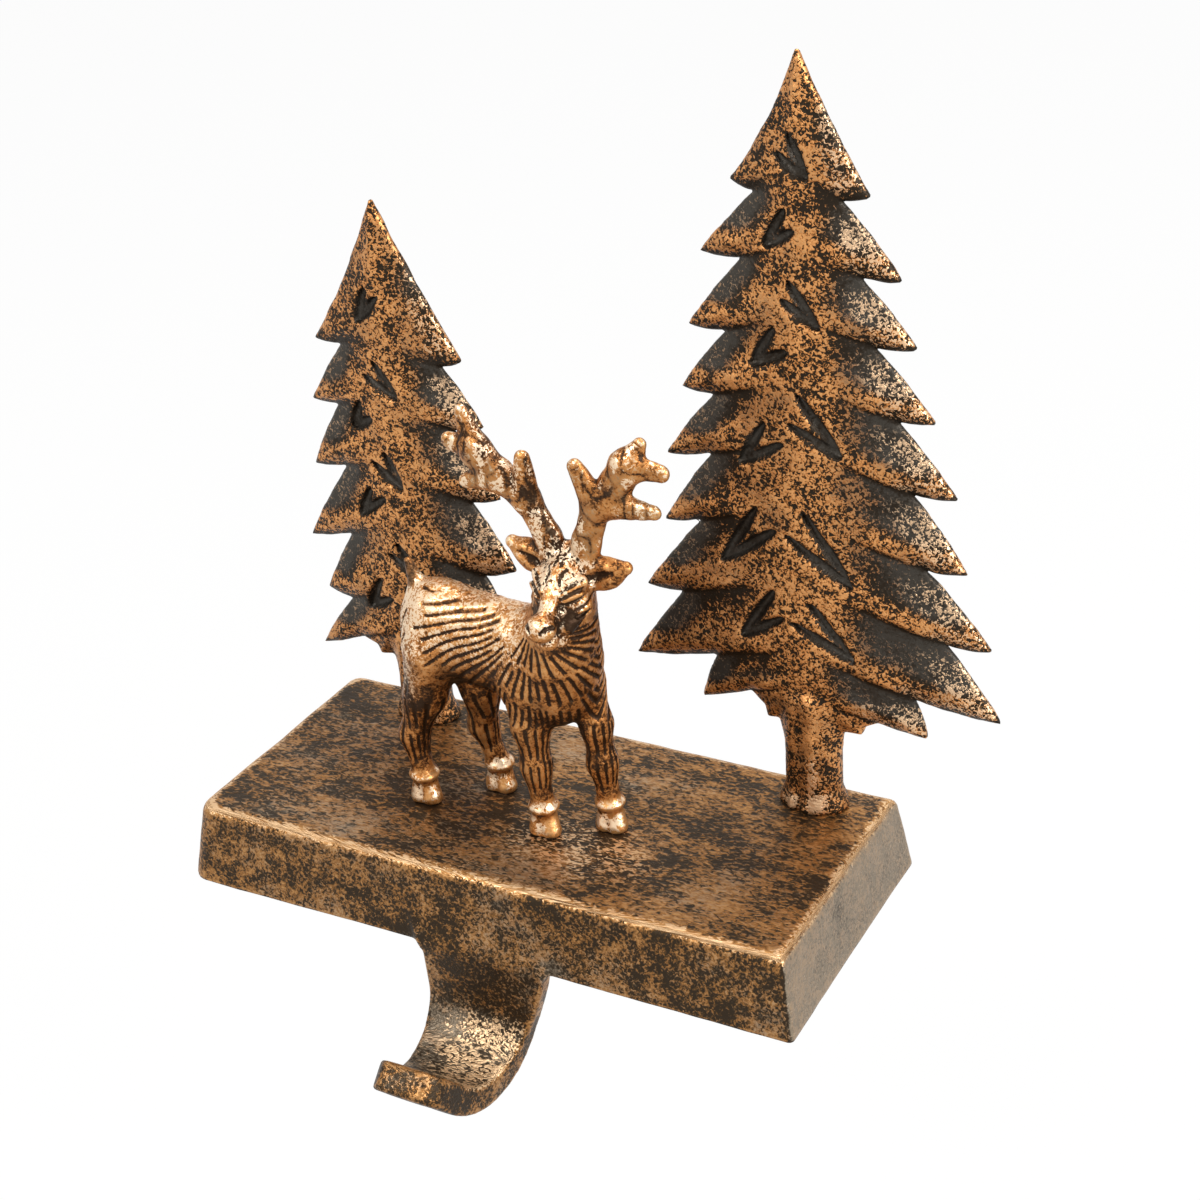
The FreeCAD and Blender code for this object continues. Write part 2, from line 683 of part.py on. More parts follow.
def leg(hoof, hip, hock_back, thigh):
    """Leg as ovals from the hoof's sole up into the body.

    hoof is a place about the deer's centre, hip is (share of the body's half length, y), hock_back is
    how far the middle joint stands behind the straight line between them, and thigh is the half length
    and half width at the hip.
    """
    x0, y0 = hoof
    x1 = hip[0] * BODY_LENGTH / 2
    y1 = hip[1]
    r = LEG_R
    h = HOOF_R
    # share of the height to the body's middle line, share of the way to the hip, back shift,
    # half length and half width
    stations = (
        (0.00, 0.0, 0.0, h, h * 0.92),
        (0.065, 0.0, 0.0, h * 0.84, h * 0.80),
        (0.11, 0.0, 0.1, r * 0.98, r * 0.98),
        (0.15, 0.0, 0.2, r * 1.22, r * 1.18),
        (0.22, 0.04, hock_back * 0.3, r, r * 0.96),
        (0.31, 0.10, hock_back * 0.7, r * 1.02, r * 0.96),
        (0.40, 0.20, hock_back, r * 1.22, r * 1.08),
        (0.53, 0.42, hock_back * 0.5, r * 1.55, r * 1.3),
        (0.69, 0.75, 0.0, thigh[0] * 0.82, thigh[1] * 0.86),
        (0.90, 1.0, 0.0, thigh[0], thigh[1]),
    )
    sections = []
    for up, share, back, rx, ry in stations:
        centre = V(x0 + (x1 - x0) * share - back, y0 + (y1 - y0) * share, BODY_MID_Z * up)
        sections.append((centre, V(0, 0, 1), ry, rx))
    return oval_solid(sections, V(1, 0, 0), ROD_SIDES + 2)


def deer_tail():
    """Short raised tail."""
    x = -0.92 * BODY_LENGTH / 2
    sections = (
        (V(x, 1.6, BACK_HEIGHT - 3.0), V(-0.35, 0, 1), 2.0, 2.2),
        (V(x - 1.2, 1.7, BACK_HEIGHT + 1.0), V(-0.35, 0, 1), 1.7, 1.8),
        (V(x - 2.2, 1.8, BACK_HEIGHT + 3.8), V(-0.35, 0, 1), 0.8, 0.9),
    )
    return oval_solid(sections, V(1, 0, 0), ROD_SIDES)


def reindeer():
    """Whole reindeer as one casting, its hooves on the plinth's top."""
    solids = [
        leg(NEAR_FORE, (0.42, -3.6), 0.5, (4.6, 3.6)),
        leg(FAR_FORE, (0.70, 1.6), 0.4, (4.0, 3.6)),
        leg(NEAR_HIND, (-0.70, -1.8), 2.2, (6.2, 4.2)),
        leg(FAR_HIND, (-0.60, 3.4), 2.2, (6.2, 4.2)),
        deer_neck(),
        deer_head(),
        deer_ear(1),
        deer_ear(-1),
        deer_tail(),
    ]
    solids += antler(RIGHT_ANTLER) + antler(LEFT_ANTLER)
    body = joined(deer_body(), solids)
    body.translate(V(DEER_X, DEER_Y, TOP))
    for name, place, r, reach in screw_places():
        if name.startswith("deer"):
            body = body.cut(tapped_hole(place, r, reach))
    return body


def build():
    """Every node's name and solid."""
    tall_hole = tapped_hole((TALL_X, TALL_Y), TREE_SCREW_R, TREE_SCREW_REACH)
    short_hole = tapped_hole((SHORT_X, SHORT_Y), TREE_SCREW_R, TREE_SCREW_REACH)
    tall_z = tier_heights(TALL_FIRST_TIER_Z, TALL_LAST_TIER_Z, TALL_TIERS)
    tall_z.append(tall_z[-1] - TALL_SKIRT_DROP)
    tall_reach = tier_reaches(TALL_FIRST_REACH, TALL_LAST_REACH, TALL_TIERS) + [TALL_SKIRT_REACH]
    short_z = tier_heights(SHORT_FIRST_TIER_Z, SHORT_LAST_TIER_Z, SHORT_TIERS)
    short_reach = tier_reaches(SHORT_FIRST_REACH, SHORT_LAST_REACH, SHORT_TIERS)
    nodes = {
        "base_with_hook": base_with_hook(),
        "non_slip_sheet": non_slip_sheet(),
        "tall_tree": tree((TALL_X, TALL_Y), TALL_HEIGHT, tall_z, tall_reach, tall_hole),
        "short_tree": tree((SHORT_X, SHORT_Y), SHORT_HEIGHT, short_z, short_reach, short_hole),
        "reindeer": reindeer(),
    }
    for name, place, r, reach in screw_places():
        nodes[name] = screw(place, r, reach)
    return nodes


os.makedirs("parts", exist_ok=True)
for node, shape in build().items():
    print(node, "solids", len(shape.Solids), "valid", shape.isValid(), "volume", round(shape.Volume, 1))
    shape.exportStep("parts/" + node + ".step")
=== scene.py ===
"""Mantel stocking holder in antique copper: a hollow plinth with a J hook, two firs and a reindeer.

Every figure is shaped as a solid on a fine grid, the way a pattern maker builds one up in clay and
cuts it back, and is then skinned, chased with grooves and given its rubbed finish. Shapes are
worked out in millimetres and become metres only when a mesh is made.
"""

import logging
import math
from collections.abc import Callable
from dataclasses import dataclass, field
from enum import Enum

import bpy
import numpy as np
from mathutils import Matrix, Vector


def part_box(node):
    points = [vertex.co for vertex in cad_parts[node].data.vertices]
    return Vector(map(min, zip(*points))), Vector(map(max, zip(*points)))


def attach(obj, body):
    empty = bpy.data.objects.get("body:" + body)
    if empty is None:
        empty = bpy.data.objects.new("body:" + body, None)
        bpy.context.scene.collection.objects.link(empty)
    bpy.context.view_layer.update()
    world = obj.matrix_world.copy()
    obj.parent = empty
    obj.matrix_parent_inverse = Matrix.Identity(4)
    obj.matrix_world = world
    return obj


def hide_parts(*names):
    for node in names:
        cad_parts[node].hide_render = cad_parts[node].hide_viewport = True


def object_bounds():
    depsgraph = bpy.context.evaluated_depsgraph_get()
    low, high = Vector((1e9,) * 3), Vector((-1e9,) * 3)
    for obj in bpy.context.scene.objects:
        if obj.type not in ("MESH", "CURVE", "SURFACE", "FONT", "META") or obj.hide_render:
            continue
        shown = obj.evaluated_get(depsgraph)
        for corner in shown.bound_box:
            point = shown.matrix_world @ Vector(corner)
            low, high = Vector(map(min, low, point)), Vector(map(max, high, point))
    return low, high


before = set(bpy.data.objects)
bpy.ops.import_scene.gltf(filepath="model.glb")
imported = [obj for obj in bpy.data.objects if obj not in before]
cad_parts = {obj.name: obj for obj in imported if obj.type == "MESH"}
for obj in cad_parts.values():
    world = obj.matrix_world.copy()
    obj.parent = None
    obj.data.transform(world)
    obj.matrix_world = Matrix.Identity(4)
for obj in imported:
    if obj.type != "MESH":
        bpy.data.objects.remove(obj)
CAD_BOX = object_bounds()

Array = np.ndarray
Point = tuple[float, float, float]
Socket = bpy.types.NodeSocket
Tree = bpy.types.NodeTree

MM = 0.001
BODY = "root"

# Farther than anything on a grid, and a length too short to divide by, in millimetres
FAR = 1000.0
TINY = 1e-9

# The eight corners of a grid cell
CORNERS = [(i, j, k) for i in (0, 1) for j in (0, 1) for k in (0, 1)]

# Points to a side of the random lattice behind lumps, and how far places are moved into it
LATTICE = 32
LATTICE_START = 100.0

# How many times a new mesh is drawn onto its surface, and the least slope squared that this trusts
PULLS = 3
LEAST_SLOPE = 0.2

# Painted on the meshes: rubbed copper, black patina with painted shade, painted highlights, painted
# grey sheen and shade, streaks
PAINTS = ("rub", "black_and_shade", "glint", "grey_sheen_and_shade", "drag")

log = logging.getLogger("stocking_holder")


class Side(Enum):
    """A side of a figure, as the viewer in front of it sees it."""

    LEFT = -1
    RIGHT = 1


# Small helpers


def linear(hex_colour: str) -> tuple[float, float, float, float]:
    """Turn an sRGB hex colour into the linear colour that a shader takes.

    Args:
        hex_colour: Six hex digits, with or without a leading hash.

    Returns:
        Linear red, green and blue, and an alpha of one.
    """
    digits = hex_colour.lstrip("#")
    channels = []
    for start in (0, 2, 4):
        value = int(digits[start : start + 2], 16) / 255
        channels.append(value / 12.92 if value <= 0.04045 else ((value + 0.055) / 1.055) ** 2.4)
    return (channels[0], channels[1], channels[2], 1.0)


def smoothstep(low: float, high: float, value: Array) -> Array:
    """Ease a value from nought at low to one at high.

    Args:
        low: Where the step starts.
        high: Where it ends.
        value: The values to ease.

    Returns:
        Values from nought to one.
    """
    t = np.clip((value - low) / (high - low), 0.0, 1.0)
    return t * t * (3 - 2 * t)


def soft_spot(*ways: tuple[Array, float, float | Array]) -> Array:
    """Bell-shaped spot, one in its middle and nought far from it.

    Args:
        *ways: For each direction, the places along it, the spot's middle and its width.

    Returns:
        Values from nought to one.
    """
    return np.exp(-sum(((value - middle) / width) ** 2 for value, middle, width in ways))


def soft_min(a: Array, b: Array, blend: float) -> Array:
    """Smaller of two distances, rounded where they cross.

    Args:
        a: First distance.
        b: Second distance.
        blend: How wide the rounding is, in millimetres.

    Returns:
        The blended distance.
    """
    h = np.maximum(blend - np.abs(a - b), 0.0) / blend
    return np.minimum(a, b) - 0.25 * blend * h * h


def soft_max(a: Array, b: Array, blend: float) -> Array:
    """Larger of two distances, rounded where they cross; see soft_min for its values."""
    return -soft_min(-a, -b, blend)


def between(t: Array, at_corner: Callable[[int, int, int], Array]) -> Array:
    """Even mix of the values at the eight corners of each place's cell.

    Args:
        t: How far along its cell each place is, one row of three each.
        at_corner: Gives the values at one corner of all the cells.

    Returns:
        One value a place.
    """
    total = np.zeros(len(t))
    for i, j, k in CORNERS:
        weight = np.abs(1 - i - t[:, 0]) * np.abs(1 - j - t[:, 1]) * np.abs(1 - k - t[:, 2])
        total += weight * at_corner(i, j, k)
    return total


def lumps(points: Array, size: float, seed: int) -> Array:
    """Smooth random unevenness, the same at each run.

    Args:
        points: Places, one row of three each, in millimetres.
        size: Rough size of a lump in millimetres.
        seed: Which pattern to give.

    Returns:
        One value a place, from about minus one to one.
    """
    lattice = np.random.default_rng(seed).uniform(-1, 1, (LATTICE, LATTICE, LATTICE))
    scaled = points / size + LATTICE_START
    cell = np.floor(scaled).astype(int)
    t = scaled - cell
    t = t * t * (3 - 2 * t)

    def at_corner(*corner: int) -> Array:
        """The lattice's values at one corner of the cells."""
        return lattice[tuple(((cell + corner) % LATTICE).T)]

    return between(t, at_corner)


def vector(*values: float) -> Array:
    """A place or direction as an array of floats."""
    return np.array(values, float)


# Solids built up on a grid


@dataclass(frozen=True)
class Rod:
    """Round bar between two points whose radius changes evenly, with round ends.

    Attributes:
        start: First end of its axis.
        end: Other end of its axis.
        start_r: Radius at the first end.
        end_r: Radius at the other end.
        thin_axis: Direction in which it is flattened, if it is.
        thinning: How many times thinner it is that way.
    """

    start: Array
    end: Array
    start_r: float
    end_r: float
    thin_axis: Array | None = None
    thinning: float = 1.0

    def reach(self) -> tuple[Array, Array]:
        """Lowest and highest corner of the box that holds it."""
        r = max(self.start_r, self.end_r)
        return np.minimum(self.start, self.end) - r, np.maximum(self.start, self.end) + r

    def distance(self, x: Array, y: Array, z: Array) -> Array:
        """Distance from places to its surface, less than nought inside.

        Args:
            x: Places along X.
            y: Places along Y.
            z: Places along Z.

        Returns:
            The distances.
        """
        along = self.end - self.start
        length = max(float(along @ along), TINY)
        dx, dy, dz = x - self.start[0], y - self.start[1], z - self.start[2]
        t = np.clip((dx * along[0] + dy * along[1] + dz * along[2]) / length, 0, 1)
        dx, dy, dz = dx - t * along[0], dy - t * along[1], dz - t * along[2]
        if self.thin_axis is not None:
            a = self.thin_axis / np.linalg.norm(self.thin_axis)
            extra = (dx * a[0] + dy * a[1] + dz * a[2]) * (self.thinning - 1)
            dx, dy, dz = dx + extra * a[0], dy + extra * a[1], dz + extra * a[2]
        radius = self.start_r + (self.end_r - self.start_r) * t
        return np.sqrt(dx * dx + dy * dy + dz * dz) - radius


@dataclass(frozen=True)
class Egg:
    """Ellipsoid with its own axes.

    Attributes:
        centre: Its middle.
        radii: Radius along each of its axes.
        axes: Its axes as rows, each of length one.
    """

    centre: Array
    radii: Array
    axes: Array = field(default_factory=lambda: np.eye(3))

    def reach(self) -> tuple[Array, Array]:
        """Lowest and highest corner of a box that holds it."""
        r = np.abs(self.axes.T) @ self.radii
        return self.centre - r, self.centre + r

    def distance(self, x: Array, y: Array, z: Array) -> Array:
        """Distance from places to its surface.

        Args:
            x: Places along x.
            y: Places along y.
            z: Places along z.

        Returns:
            Distances, less than nought inside it.
        """
        dx, dy, dz = x - self.centre[0], y - self.centre[1], z - self.centre[2]
        near = 0.0
        far = 0.0
        for axis, radius in zip(self.axes, self.radii):
            part = (dx * axis[0] + dy * axis[1] + dz * axis[2]) / radius
            near = near + part * part
            far = far + (part / radius) ** 2
        near = np.sqrt(near)
        return near * (near - 1.0) / np.maximum(np.sqrt(far), TINY)


@dataclass(frozen=True)
class Drum:
    """Upright cylinder with flat ends.

    Attributes:
        x: Its axis along the mantel.
        y: Its axis across it.
        low_z: Its lower end.
        high_z: Its upper end.
        r: Its radius.
    """

    x: float
    y: float
    low_z: float
    high_z: float
    r: float

    def reach(self) -> tuple[Array, Array]:
        """Lowest and highest corner of the box that holds it."""
        low = vector(self.x - self.r, self.y - self.r, self.low_z)
        return low, vector(self.x + self.r, self.y + self.r, self.high_z)

    def distance(self, x: Array, y: Array, z: Array) -> Array:
        """Distance from places to its surface; see Rod.distance for its values."""
        side = np.hypot(x - self.x, y - self.y) - self.r
        return np.maximum(side, np.maximum(self.low_z - z, z - self.high_z))


Shape = Rod | Egg | Drum


@dataclass
class Clay:
    """A solid held as the distance to its surface on a regular grid.

    Attributes:
        low: Lowest corner of the grid in millimetres.
        high: Highest corner.
        step: Distance between grid points.
        axes: Its places along each axis.
        grid: The distances, less than nought inside the solid.
    """

    low: Array
    high: Array
    step: float
    axes: list[Array] = field(init=False)
    grid: Array = field(init=False)

    def __post_init__(self) -> None:
        """Lay out the empty grid."""
        self.axes = []
        for a in range(3):
            self.axes.append(np.arange(self.low[a], self.high[a] + self.step, self.step))
        self.grid = np.full([len(a) for a in self.axes], FAR, np.float32)

    def _about(self, shape: Shape, blend: float) -> tuple[tuple[slice, ...], Array]:
        """Part of the grid about a shape.

        Args:
            shape: The shape.
            blend: How wide its fillet is.

        Returns:
            The slices of the grid, and the shape's distances there.
        """
        margin = blend + 3 * self.step
        low, high = shape.reach()
        slices = []
        for a in range(3):
            count = len(self.axes[a])
            first = int(np.clip((low[a] - margin - self.low[a]) / self.step, 0, count))
            last = int(np.clip((high[a] + margin - self.low[a]) / self.step + 2, 0, count))
            slices.append(slice(first, last))
        places = np.ix_(*(self.axes[a][slices[a]] for a in range(3)))
        return tuple(slices), shape.distance(*places)

    def add(self, shape: Shape, blend: float) -> None:
        """Press a shape onto the solid, with a fillet where they meet.

        Args:
            shape: What is added.
            blend: How wide the fillet is.
        """
        where, distance = self._about(shape, blend)
        self.grid[where] = soft_min(self.grid[where], distance, blend)

    def cut(self, shape: Shape, blend: float) -> None:
        """Cut a shape out of the solid, with its edges rounded.

        Args:
            shape: What is taken away.
            blend: How wide the rounding is.
        """
        where, distance = self._about(shape, blend)
        self.grid[where] = soft_max(self.grid[where], -distance, blend)

    def level(self) -> None:
        """Cut the solid off flat at its feet, where Z is nought."""
        self.grid = np.maximum(self.grid, -self.axes[2][None, None, :]).astype(np.float32)

    def sample(self, points: Array) -> Array:
        """Distance at places between the grid points.

        Args:
            points: Places, one row each.

        Returns:
            One distance a place.
        """
        scaled = (points - self.low) / self.step
        top = np.array(self.grid.shape) - 2
        cell = np.clip(np.floor(scaled).astype(int), 0, top)

        def at_corner(*corner: int) -> Array:
            """The grid's distances at one corner of the cells."""
            return self.grid[tuple((cell + corner).T)]

        return between(np.clip(scaled - cell, 0, 1), at_corner)

    def slope(self, points: Array) -> Array:
        """Direction in which the distance grows at each place.

        Args:
            points: Places.

        Returns:
            A direction for each, not of length one.
        """
        columns = []
        for a in range(3):
            shift = np.zeros(3)
            shift[a] = 0.5 * self.step
            columns.append((self.sample(points + shift) - self.sample(points - shift)) / self.step)
        return np.stack(columns, 1)

    def skin(self) -> "Skin":
        """Lay a closed mesh over the solid's surface.

        Returns:
            The mesh, with its points drawn onto the surface.
        """
        inside = self.grid < 0
        cells = tuple(n - 1 for n in inside.shape)

        def corner_view(source: Array, corner: tuple[int, ...]) -> Array:
            """Look at one corner of every cell.

            Args:
                source: What lies at the grid's places.
                corner: Which corner, as nought or one along each way.

            Returns:
                What lies there, for each cell.
            """
            return source[tuple(slice(i, i + n) for i, n in zip(corner, cells))]

        count = sum(corner_view(inside, c).astype(np.int8) for c in CORNERS)
        active = (count > 0) & (count < len(CORNERS))
        index = np.full(cells, -1, np.int64)
        index[active] = np.arange(int(active.sum()))
        base = np.argwhere(active).astype(float)
        values = {c: corner_view(self.grid, c)[active].astype(float) for c in CORNERS}
        total = np.zeros((len(base), 3))
        hits = np.zeros(len(base))
        for a in range(3):
            for c in CORNERS:
                if c[a]:
                    continue
                other = tuple(1 if i == a else c[i] for i in range(3))
                f0, f1 = values[c], values[other]
                crossed = (f0 < 0) != (f1 < 0)
                t = np.where(crossed, f0 / np.where(crossed, f0 - f1, 1.0), 0.0)
                place = np.tile(np.array(c, float), (len(base), 1))
                place[:, a] = t
                total += place * crossed[:, None]
                hits += crossed
        points = self.low + self.step * (base + total / hits[:, None])
        for _ in range(PULLS):
            slope = self.slope(points)
            steep = np.maximum((slope**2).sum(1), LEAST_SLOPE)[:, None]
            pull = self.sample(points)[:, None] * slope / steep
            points -= np.clip(pull, -self.step, self.step)
        return Skin(points, self._quads(inside, index))

    def _quads(self, inside: Array, index: Array) -> Array:
        """Four-sided faces, one for each grid edge that passes through the surface.

        Args:
            inside: Which grid points are in the solid.
            index: Number of each cell's point, or minus one.

        Returns:
            Rows of four point numbers.
        """
        faces = []
        for a in range(3):
            b, c = (a + 1) % 3, (a + 2) % 3
            turned = np.transpose(inside, (a, b, c))
            cells = np.transpose(index, (a, b, c))
            first = turned[:-1, 1:-1, 1:-1]
            second = turned[1:, 1:-1, 1:-1]
            crossed = first != second
            ring = [cells[:, :-1, :-1], cells[:, 1:, :-1], cells[:, 1:, 1:], cells[:, :-1, 1:]]
            quad = np.stack([part[crossed] for part in ring], 1)
            outward = first[crossed]
            faces.append(np.where(outward[:, None], quad, quad[:, ::-1]))
        return np.concatenate(faces)


@dataclass
class Skin:
    """Mesh over a figure, and what is painted on its points.

    Attributes:
        points: Places in millimetres, one row each.
        quads: Rows of four point numbers.
        paint: Named values, one a point.
    """

    points: Array
    quads: Array
    paint: dict[str, Array] = field(default_factory=dict)

    def normals(self) -> Array:
        """Outward direction of the surface at each point.

        Returns:
            A direction of length one for each point.
        """
        p = self.points
        q = self.quads
        face = np.cross(p[q[:, 2]] - p[q[:, 0]], p[q[:, 3]] - p[q[:, 1]])
        total = np.zeros_like(p)
        for corner in range(4):
            for a in range(3):
                total[:, a] += np.bincount(q[:, corner], face[:, a], len(p))
        return total / np.maximum(np.linalg.norm(total, axis=1), TINY)[:, None]

    def relief(self, rounds: int) -> Array:
        """How far each point stands out of the surface about it.

        Args:
            rounds: How many times the points are evened out to give the surface about them.

        Returns:
            Distances in millimetres, less than nought in hollows.
        """
        q = self.quads
        total = len(self.points)
        first = np.concatenate([q[:, i] for i in range(4)] * 2)
        second = np.concatenate([q[:, (i + turn) % 4] for turn in (1, -1) for i in range(4)])
        count = np.maximum(np.bincount(first, minlength=total), 1)
        even = self.points
        for _ in range(rounds):
            columns = [np.bincount(first, even[second, a], total) / count for a in range(3)]
            even = np.stack(columns, 1)
        return ((self.points - even) * self.normals()).sum(1)

    def push(self, depth: Array) -> None:
        """Move each point out of the surface by a distance, or in where it is less than nought."""
        self.points = self.points + self.normals() * depth[:, None]

    def to_object(self, name: str, material: bpy.types.Material, node: str) -> None:
        """Make the mesh and hang it on the frame in place of a CAD node.

        Args:
            name: The piece's name.
            material: Its finish.
            node: The CAD node that it stands for.
        """
        mesh = bpy.data.meshes.new(name)
        mesh.vertices.add(len(self.points))
        mesh.vertices.foreach_set("co", (self.points * MM).astype(np.float32).ravel())
        mesh.loops.add(self.quads.size)
        mesh.loops.foreach_set("vertex_index", self.quads.astype(np.int32).ravel())
        mesh.polygons.add(len(self.quads))
        mesh.polygons.foreach_set("loop_start", np.arange(0, self.quads.size, 4, dtype=np.int32))
        mesh.polygons.foreach_set("use_smooth", np.ones(len(self.quads), bool))
        mesh.update(calc_edges=True)
        mesh.validate()
        for key in PAINTS:
            layer = mesh.attributes.new(key, "FLOAT", "POINT")
            layer.data.foreach_set("value", self.paint[key].astype(np.float32))
        mesh.materials.append(material)
        piece = bpy.data.objects.new(name, mesh)
        bpy.context.scene.collection.objects.link(piece)
        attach(piece, BODY)
        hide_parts(node)
        log.info("%s: %d points, %d faces", name, len(self.points), len(self.quads))


# Finishes


def add_node(
    tree: Tree,
    kind: str,
    inputs: dict[str | int, object] | tuple[object, ...] = (),
    **settings: object,
) -> bpy.types.Node:
    """Add one shader node.

    Args:
        tree: The tree it goes in.
        kind: The node's type, without the words ShaderNode.
        inputs: What its inputs take, in order or by name: a value, another node's output, or
            another node, for its first output.
        **settings: Properties of the node itself.

    Returns:
        The new node.
    """
    node = tree.nodes.new("ShaderNode" + kind)
    for key, value in settings.items():
        setattr(node, key, value)
    for key, value in inputs.items() if isinstance(inputs, dict) else enumerate(inputs):
        if isinstance(value, bpy.types.Node):
            value = value.outputs[0]
        if isinstance(value, Socket):
            tree.links.new(value, node.inputs[key])
        else:
            node.inputs[key].default_value = value
    return node


def empty_tree(owner: bpy.types.Material | bpy.types.World) -> Tree:
    """Clear a node tree.

    Args:
        owner: What it belongs to.

    Returns:
        The tree, with nothing in it.
    """
    owner.use_nodes = True
    owner.node_tree.nodes.clear()
    return owner.node_tree


@dataclass(frozen=True)
class AntiqueCopper:
    """Cast iron, blackened all over, with copper rubbed onto what stands proud.

    To the eye it is a warm, speckled orange that breaks up into brown-black pits and hollows, with
    pale pink painted highlights, and painted grey sheen and shade, where the mesh marks them.

    Attributes:
        name: The material's name.
        bright: Copper where it is rubbed hardest.
        copper: Rubbed copper.
        umber: Where copper thins out over the black.
        ground: The blackened casting.
        grey_sheen_and_shade: Grey of the painted sheen and painted shade, pale on the plinth and
            darker on the figures.
        glint: Colour of the painted highlights.
        fleck_mm: Size of the fine specks.
        pit_mm: Size of the cast skin's shallow pits, which stay black between fine copper walls.
        blotch_mm: Size of the worm-like blotches.
        cloud_mm: Size of the large changes in tone.
        fleck: How much the specks break up the copper.
        pit: How much the pits do.
        blotch: How much the blotches do.
        cloud: How much the large changes do.
        grey_cover: How far the painted grey sheen and shade cover what is under them.
        grain_mm: Height of the cast surface's grain.
        roughness: How matt the blackening is.
        metallic: Rubbed copper is metal under a thin matt film, so a little less than one.
    """

    name: str
    bright: str = "#dc9f62"
    copper: str = "#b87840"
    umber: str = "#5a3c1b"
    ground: str = "#271e13"
    grey_sheen_and_shade: str = "#45413b"
    glint: str = "#dcb892"
    fleck_mm: float = 0.60
    pit_mm: float = 1.3
    blotch_mm: float = 3.2
    cloud_mm: float = 9.0
    fleck: float = 3.0
    pit: float = 0.20
    blotch: float = 1.2
    cloud: float = 0.75
    grey_cover: float = 0.8
    grain_mm: float = 0.14
    roughness: float = 0.46
    metallic: float = 0.78

    def build(self) -> bpy.types.Material:
        """Make the material, which reads the values that are painted on the mesh.

        Returns:
            The material.
        """
        material = bpy.data.materials.new(self.name)
        tree = empty_tree(material)
        place = add_node(tree, "TexCoord").outputs["Object"]
        painted = {}
        for key in PAINTS:
            painted[key] = add_node(tree, "Attribute", attribute_name=key).outputs["Fac"]

        # Where the cast skin was wiped along the mantel, the patterns are drawn out that way
        wiped = add_node(tree, "Mapping", {"Vector": place, "Scale": (0.42, 1.0, 1.0)})
        inputs = {"Factor": painted["drag"], 4: place, 5: wiped}
        place = add_node(tree, "Mix", inputs, data_type="VECTOR").outputs[1]

        # Each pattern's lump size, the finer noise on it, and how far it is drawn into worms
        fleck, blotch, cloud = (
            add_node(
                tree,
                "TexNoise",
                {"Vector": place, "Scale": 1 / (size * MM), "Detail": detail, "Distortion": twist},
            ).outputs["Fac"]
            for size, detail, twist in (
                (self.fleck_mm, 1.2, 0.9),
                (self.blotch_mm, 3.0, 0.5),
                (self.cloud_mm, 2.0, 0.3),
            )
        )
        inputs = {"Vector": place, "Scale": 1 / (self.pit_mm * MM)}
        pits = add_node(tree, "TexVoronoi", inputs, feature="DISTANCE_TO_EDGE")
        pits = add_node(tree, "MapRange", (pits, 0.02, 0.30), interpolation_type="SMOOTHSTEP")

        # How much copper: the rub, broken up by the patterns and kept out of hollows and painted
        # shade
        amount = painted["rub"]
        for pattern, share in (
            (pits, -self.pit),
            (fleck, self.fleck),
            (blotch, self.blotch),
            (cloud, self.cloud),
        ):
            amount = add_node(tree, "Math", (pattern, share, amount), operation="MULTIPLY_ADD")
        middle = (self.fleck + self.blotch + self.cloud) / 2 - 0.6 * self.pit
        amount = add_node(tree, "Math", (amount, middle), operation="SUBTRACT")
        amount = add_node(tree, "Math", (painted["black_and_shade"], -0.85, amount), operation="MULTIPLY_ADD")
        ramp = add_node(tree, "ValToRGB", (amount,))
        stops = ((0.27, self.ground), (0.42, self.umber), (0.56, self.copper), (0.95, self.bright))
        while len(ramp.color_ramp.elements) < len(stops):
            ramp.color_ramp.elements.new(0.5)
        for element, (position, colour) in zip(ramp.color_ramp.elements, stops):
            element.position = position
            element.color = linear(colour)
        rubbed = add_node(tree, "MapRange", (amount, 0.30, 0.62), interpolation_type="SMOOTHSTEP")

        # Painted grey sheen and painted shade lie in patches with speckled edges
        grey_cover = painted["grey_sheen_and_shade"]
        for pattern in (cloud, fleck):
            grey_cover = add_node(tree, "Math", (pattern, 1.2, grey_cover), operation="MULTIPLY_ADD")
        grey_cover = add_node(tree, "MapRange", (grey_cover, 1.2, 1.9), interpolation_type="SMOOTHSTEP")
        grey_cover = add_node(tree, "Math", (grey_cover, self.grey_cover), operation="MULTIPLY")
        inputs = {"Factor": grey_cover, 6: ramp.outputs["Color"], 7: linear(self.grey_sheen_and_shade)}
        colour = add_node(tree, "Mix", inputs, data_type="RGBA").outputs[2]

        # Painted highlights show only where they are marked, as flecks that grow together as the
        # mark rises
        highlight_share = painted["glint"]
        for pattern, share in ((fleck, 3.2), (blotch, 1.4)):
            highlight_share = add_node(tree, "Math", (pattern, share, highlight_share), operation="MULTIPLY_ADD")
        highlight_share = add_node(tree, "MapRange", (highlight_share, 2.60, 2.95), interpolation_type="SMOOTHSTEP")
        highlight_share = add_node(tree, "Math", (highlight_share, 0.85), operation="MULTIPLY")
        where = add_node(
            tree, "MapRange", (painted["glint"], 0.02, 0.30), interpolation_type="SMOOTHSTEP"
        )
        highlight_share = add_node(tree, "Math", (highlight_share, where), operation="MULTIPLY")
        inputs = {"Factor": highlight_share, 6: colour, 7: linear(self.glint)}
        colour = add_node(tree, "Mix", inputs, data_type="RGBA").outputs[2]

        rough = add_node(tree, "Math", (rubbed, -0.06, self.roughness), operation="MULTIPLY_ADD")
        rough = add_node(tree, "Math", (highlight_share, -0.08, rough), operation="MULTIPLY_ADD")
        height = add_node(tree, "Math", (rubbed, 0.45, fleck), operation="MULTIPLY_ADD")
        inputs = {"Height": height, "Distance": self.grain_mm * MM, "Strength": 0.9}
        inputs = {
            "Base Color": colour,
            "Metallic": self.metallic,
            "Roughness": rough,
            "Normal": add_node(tree, "Bump", inputs),
        }
        add_node(tree, "OutputMaterial", (add_node(tree, "BsdfPrincipled", inputs),))
        return material


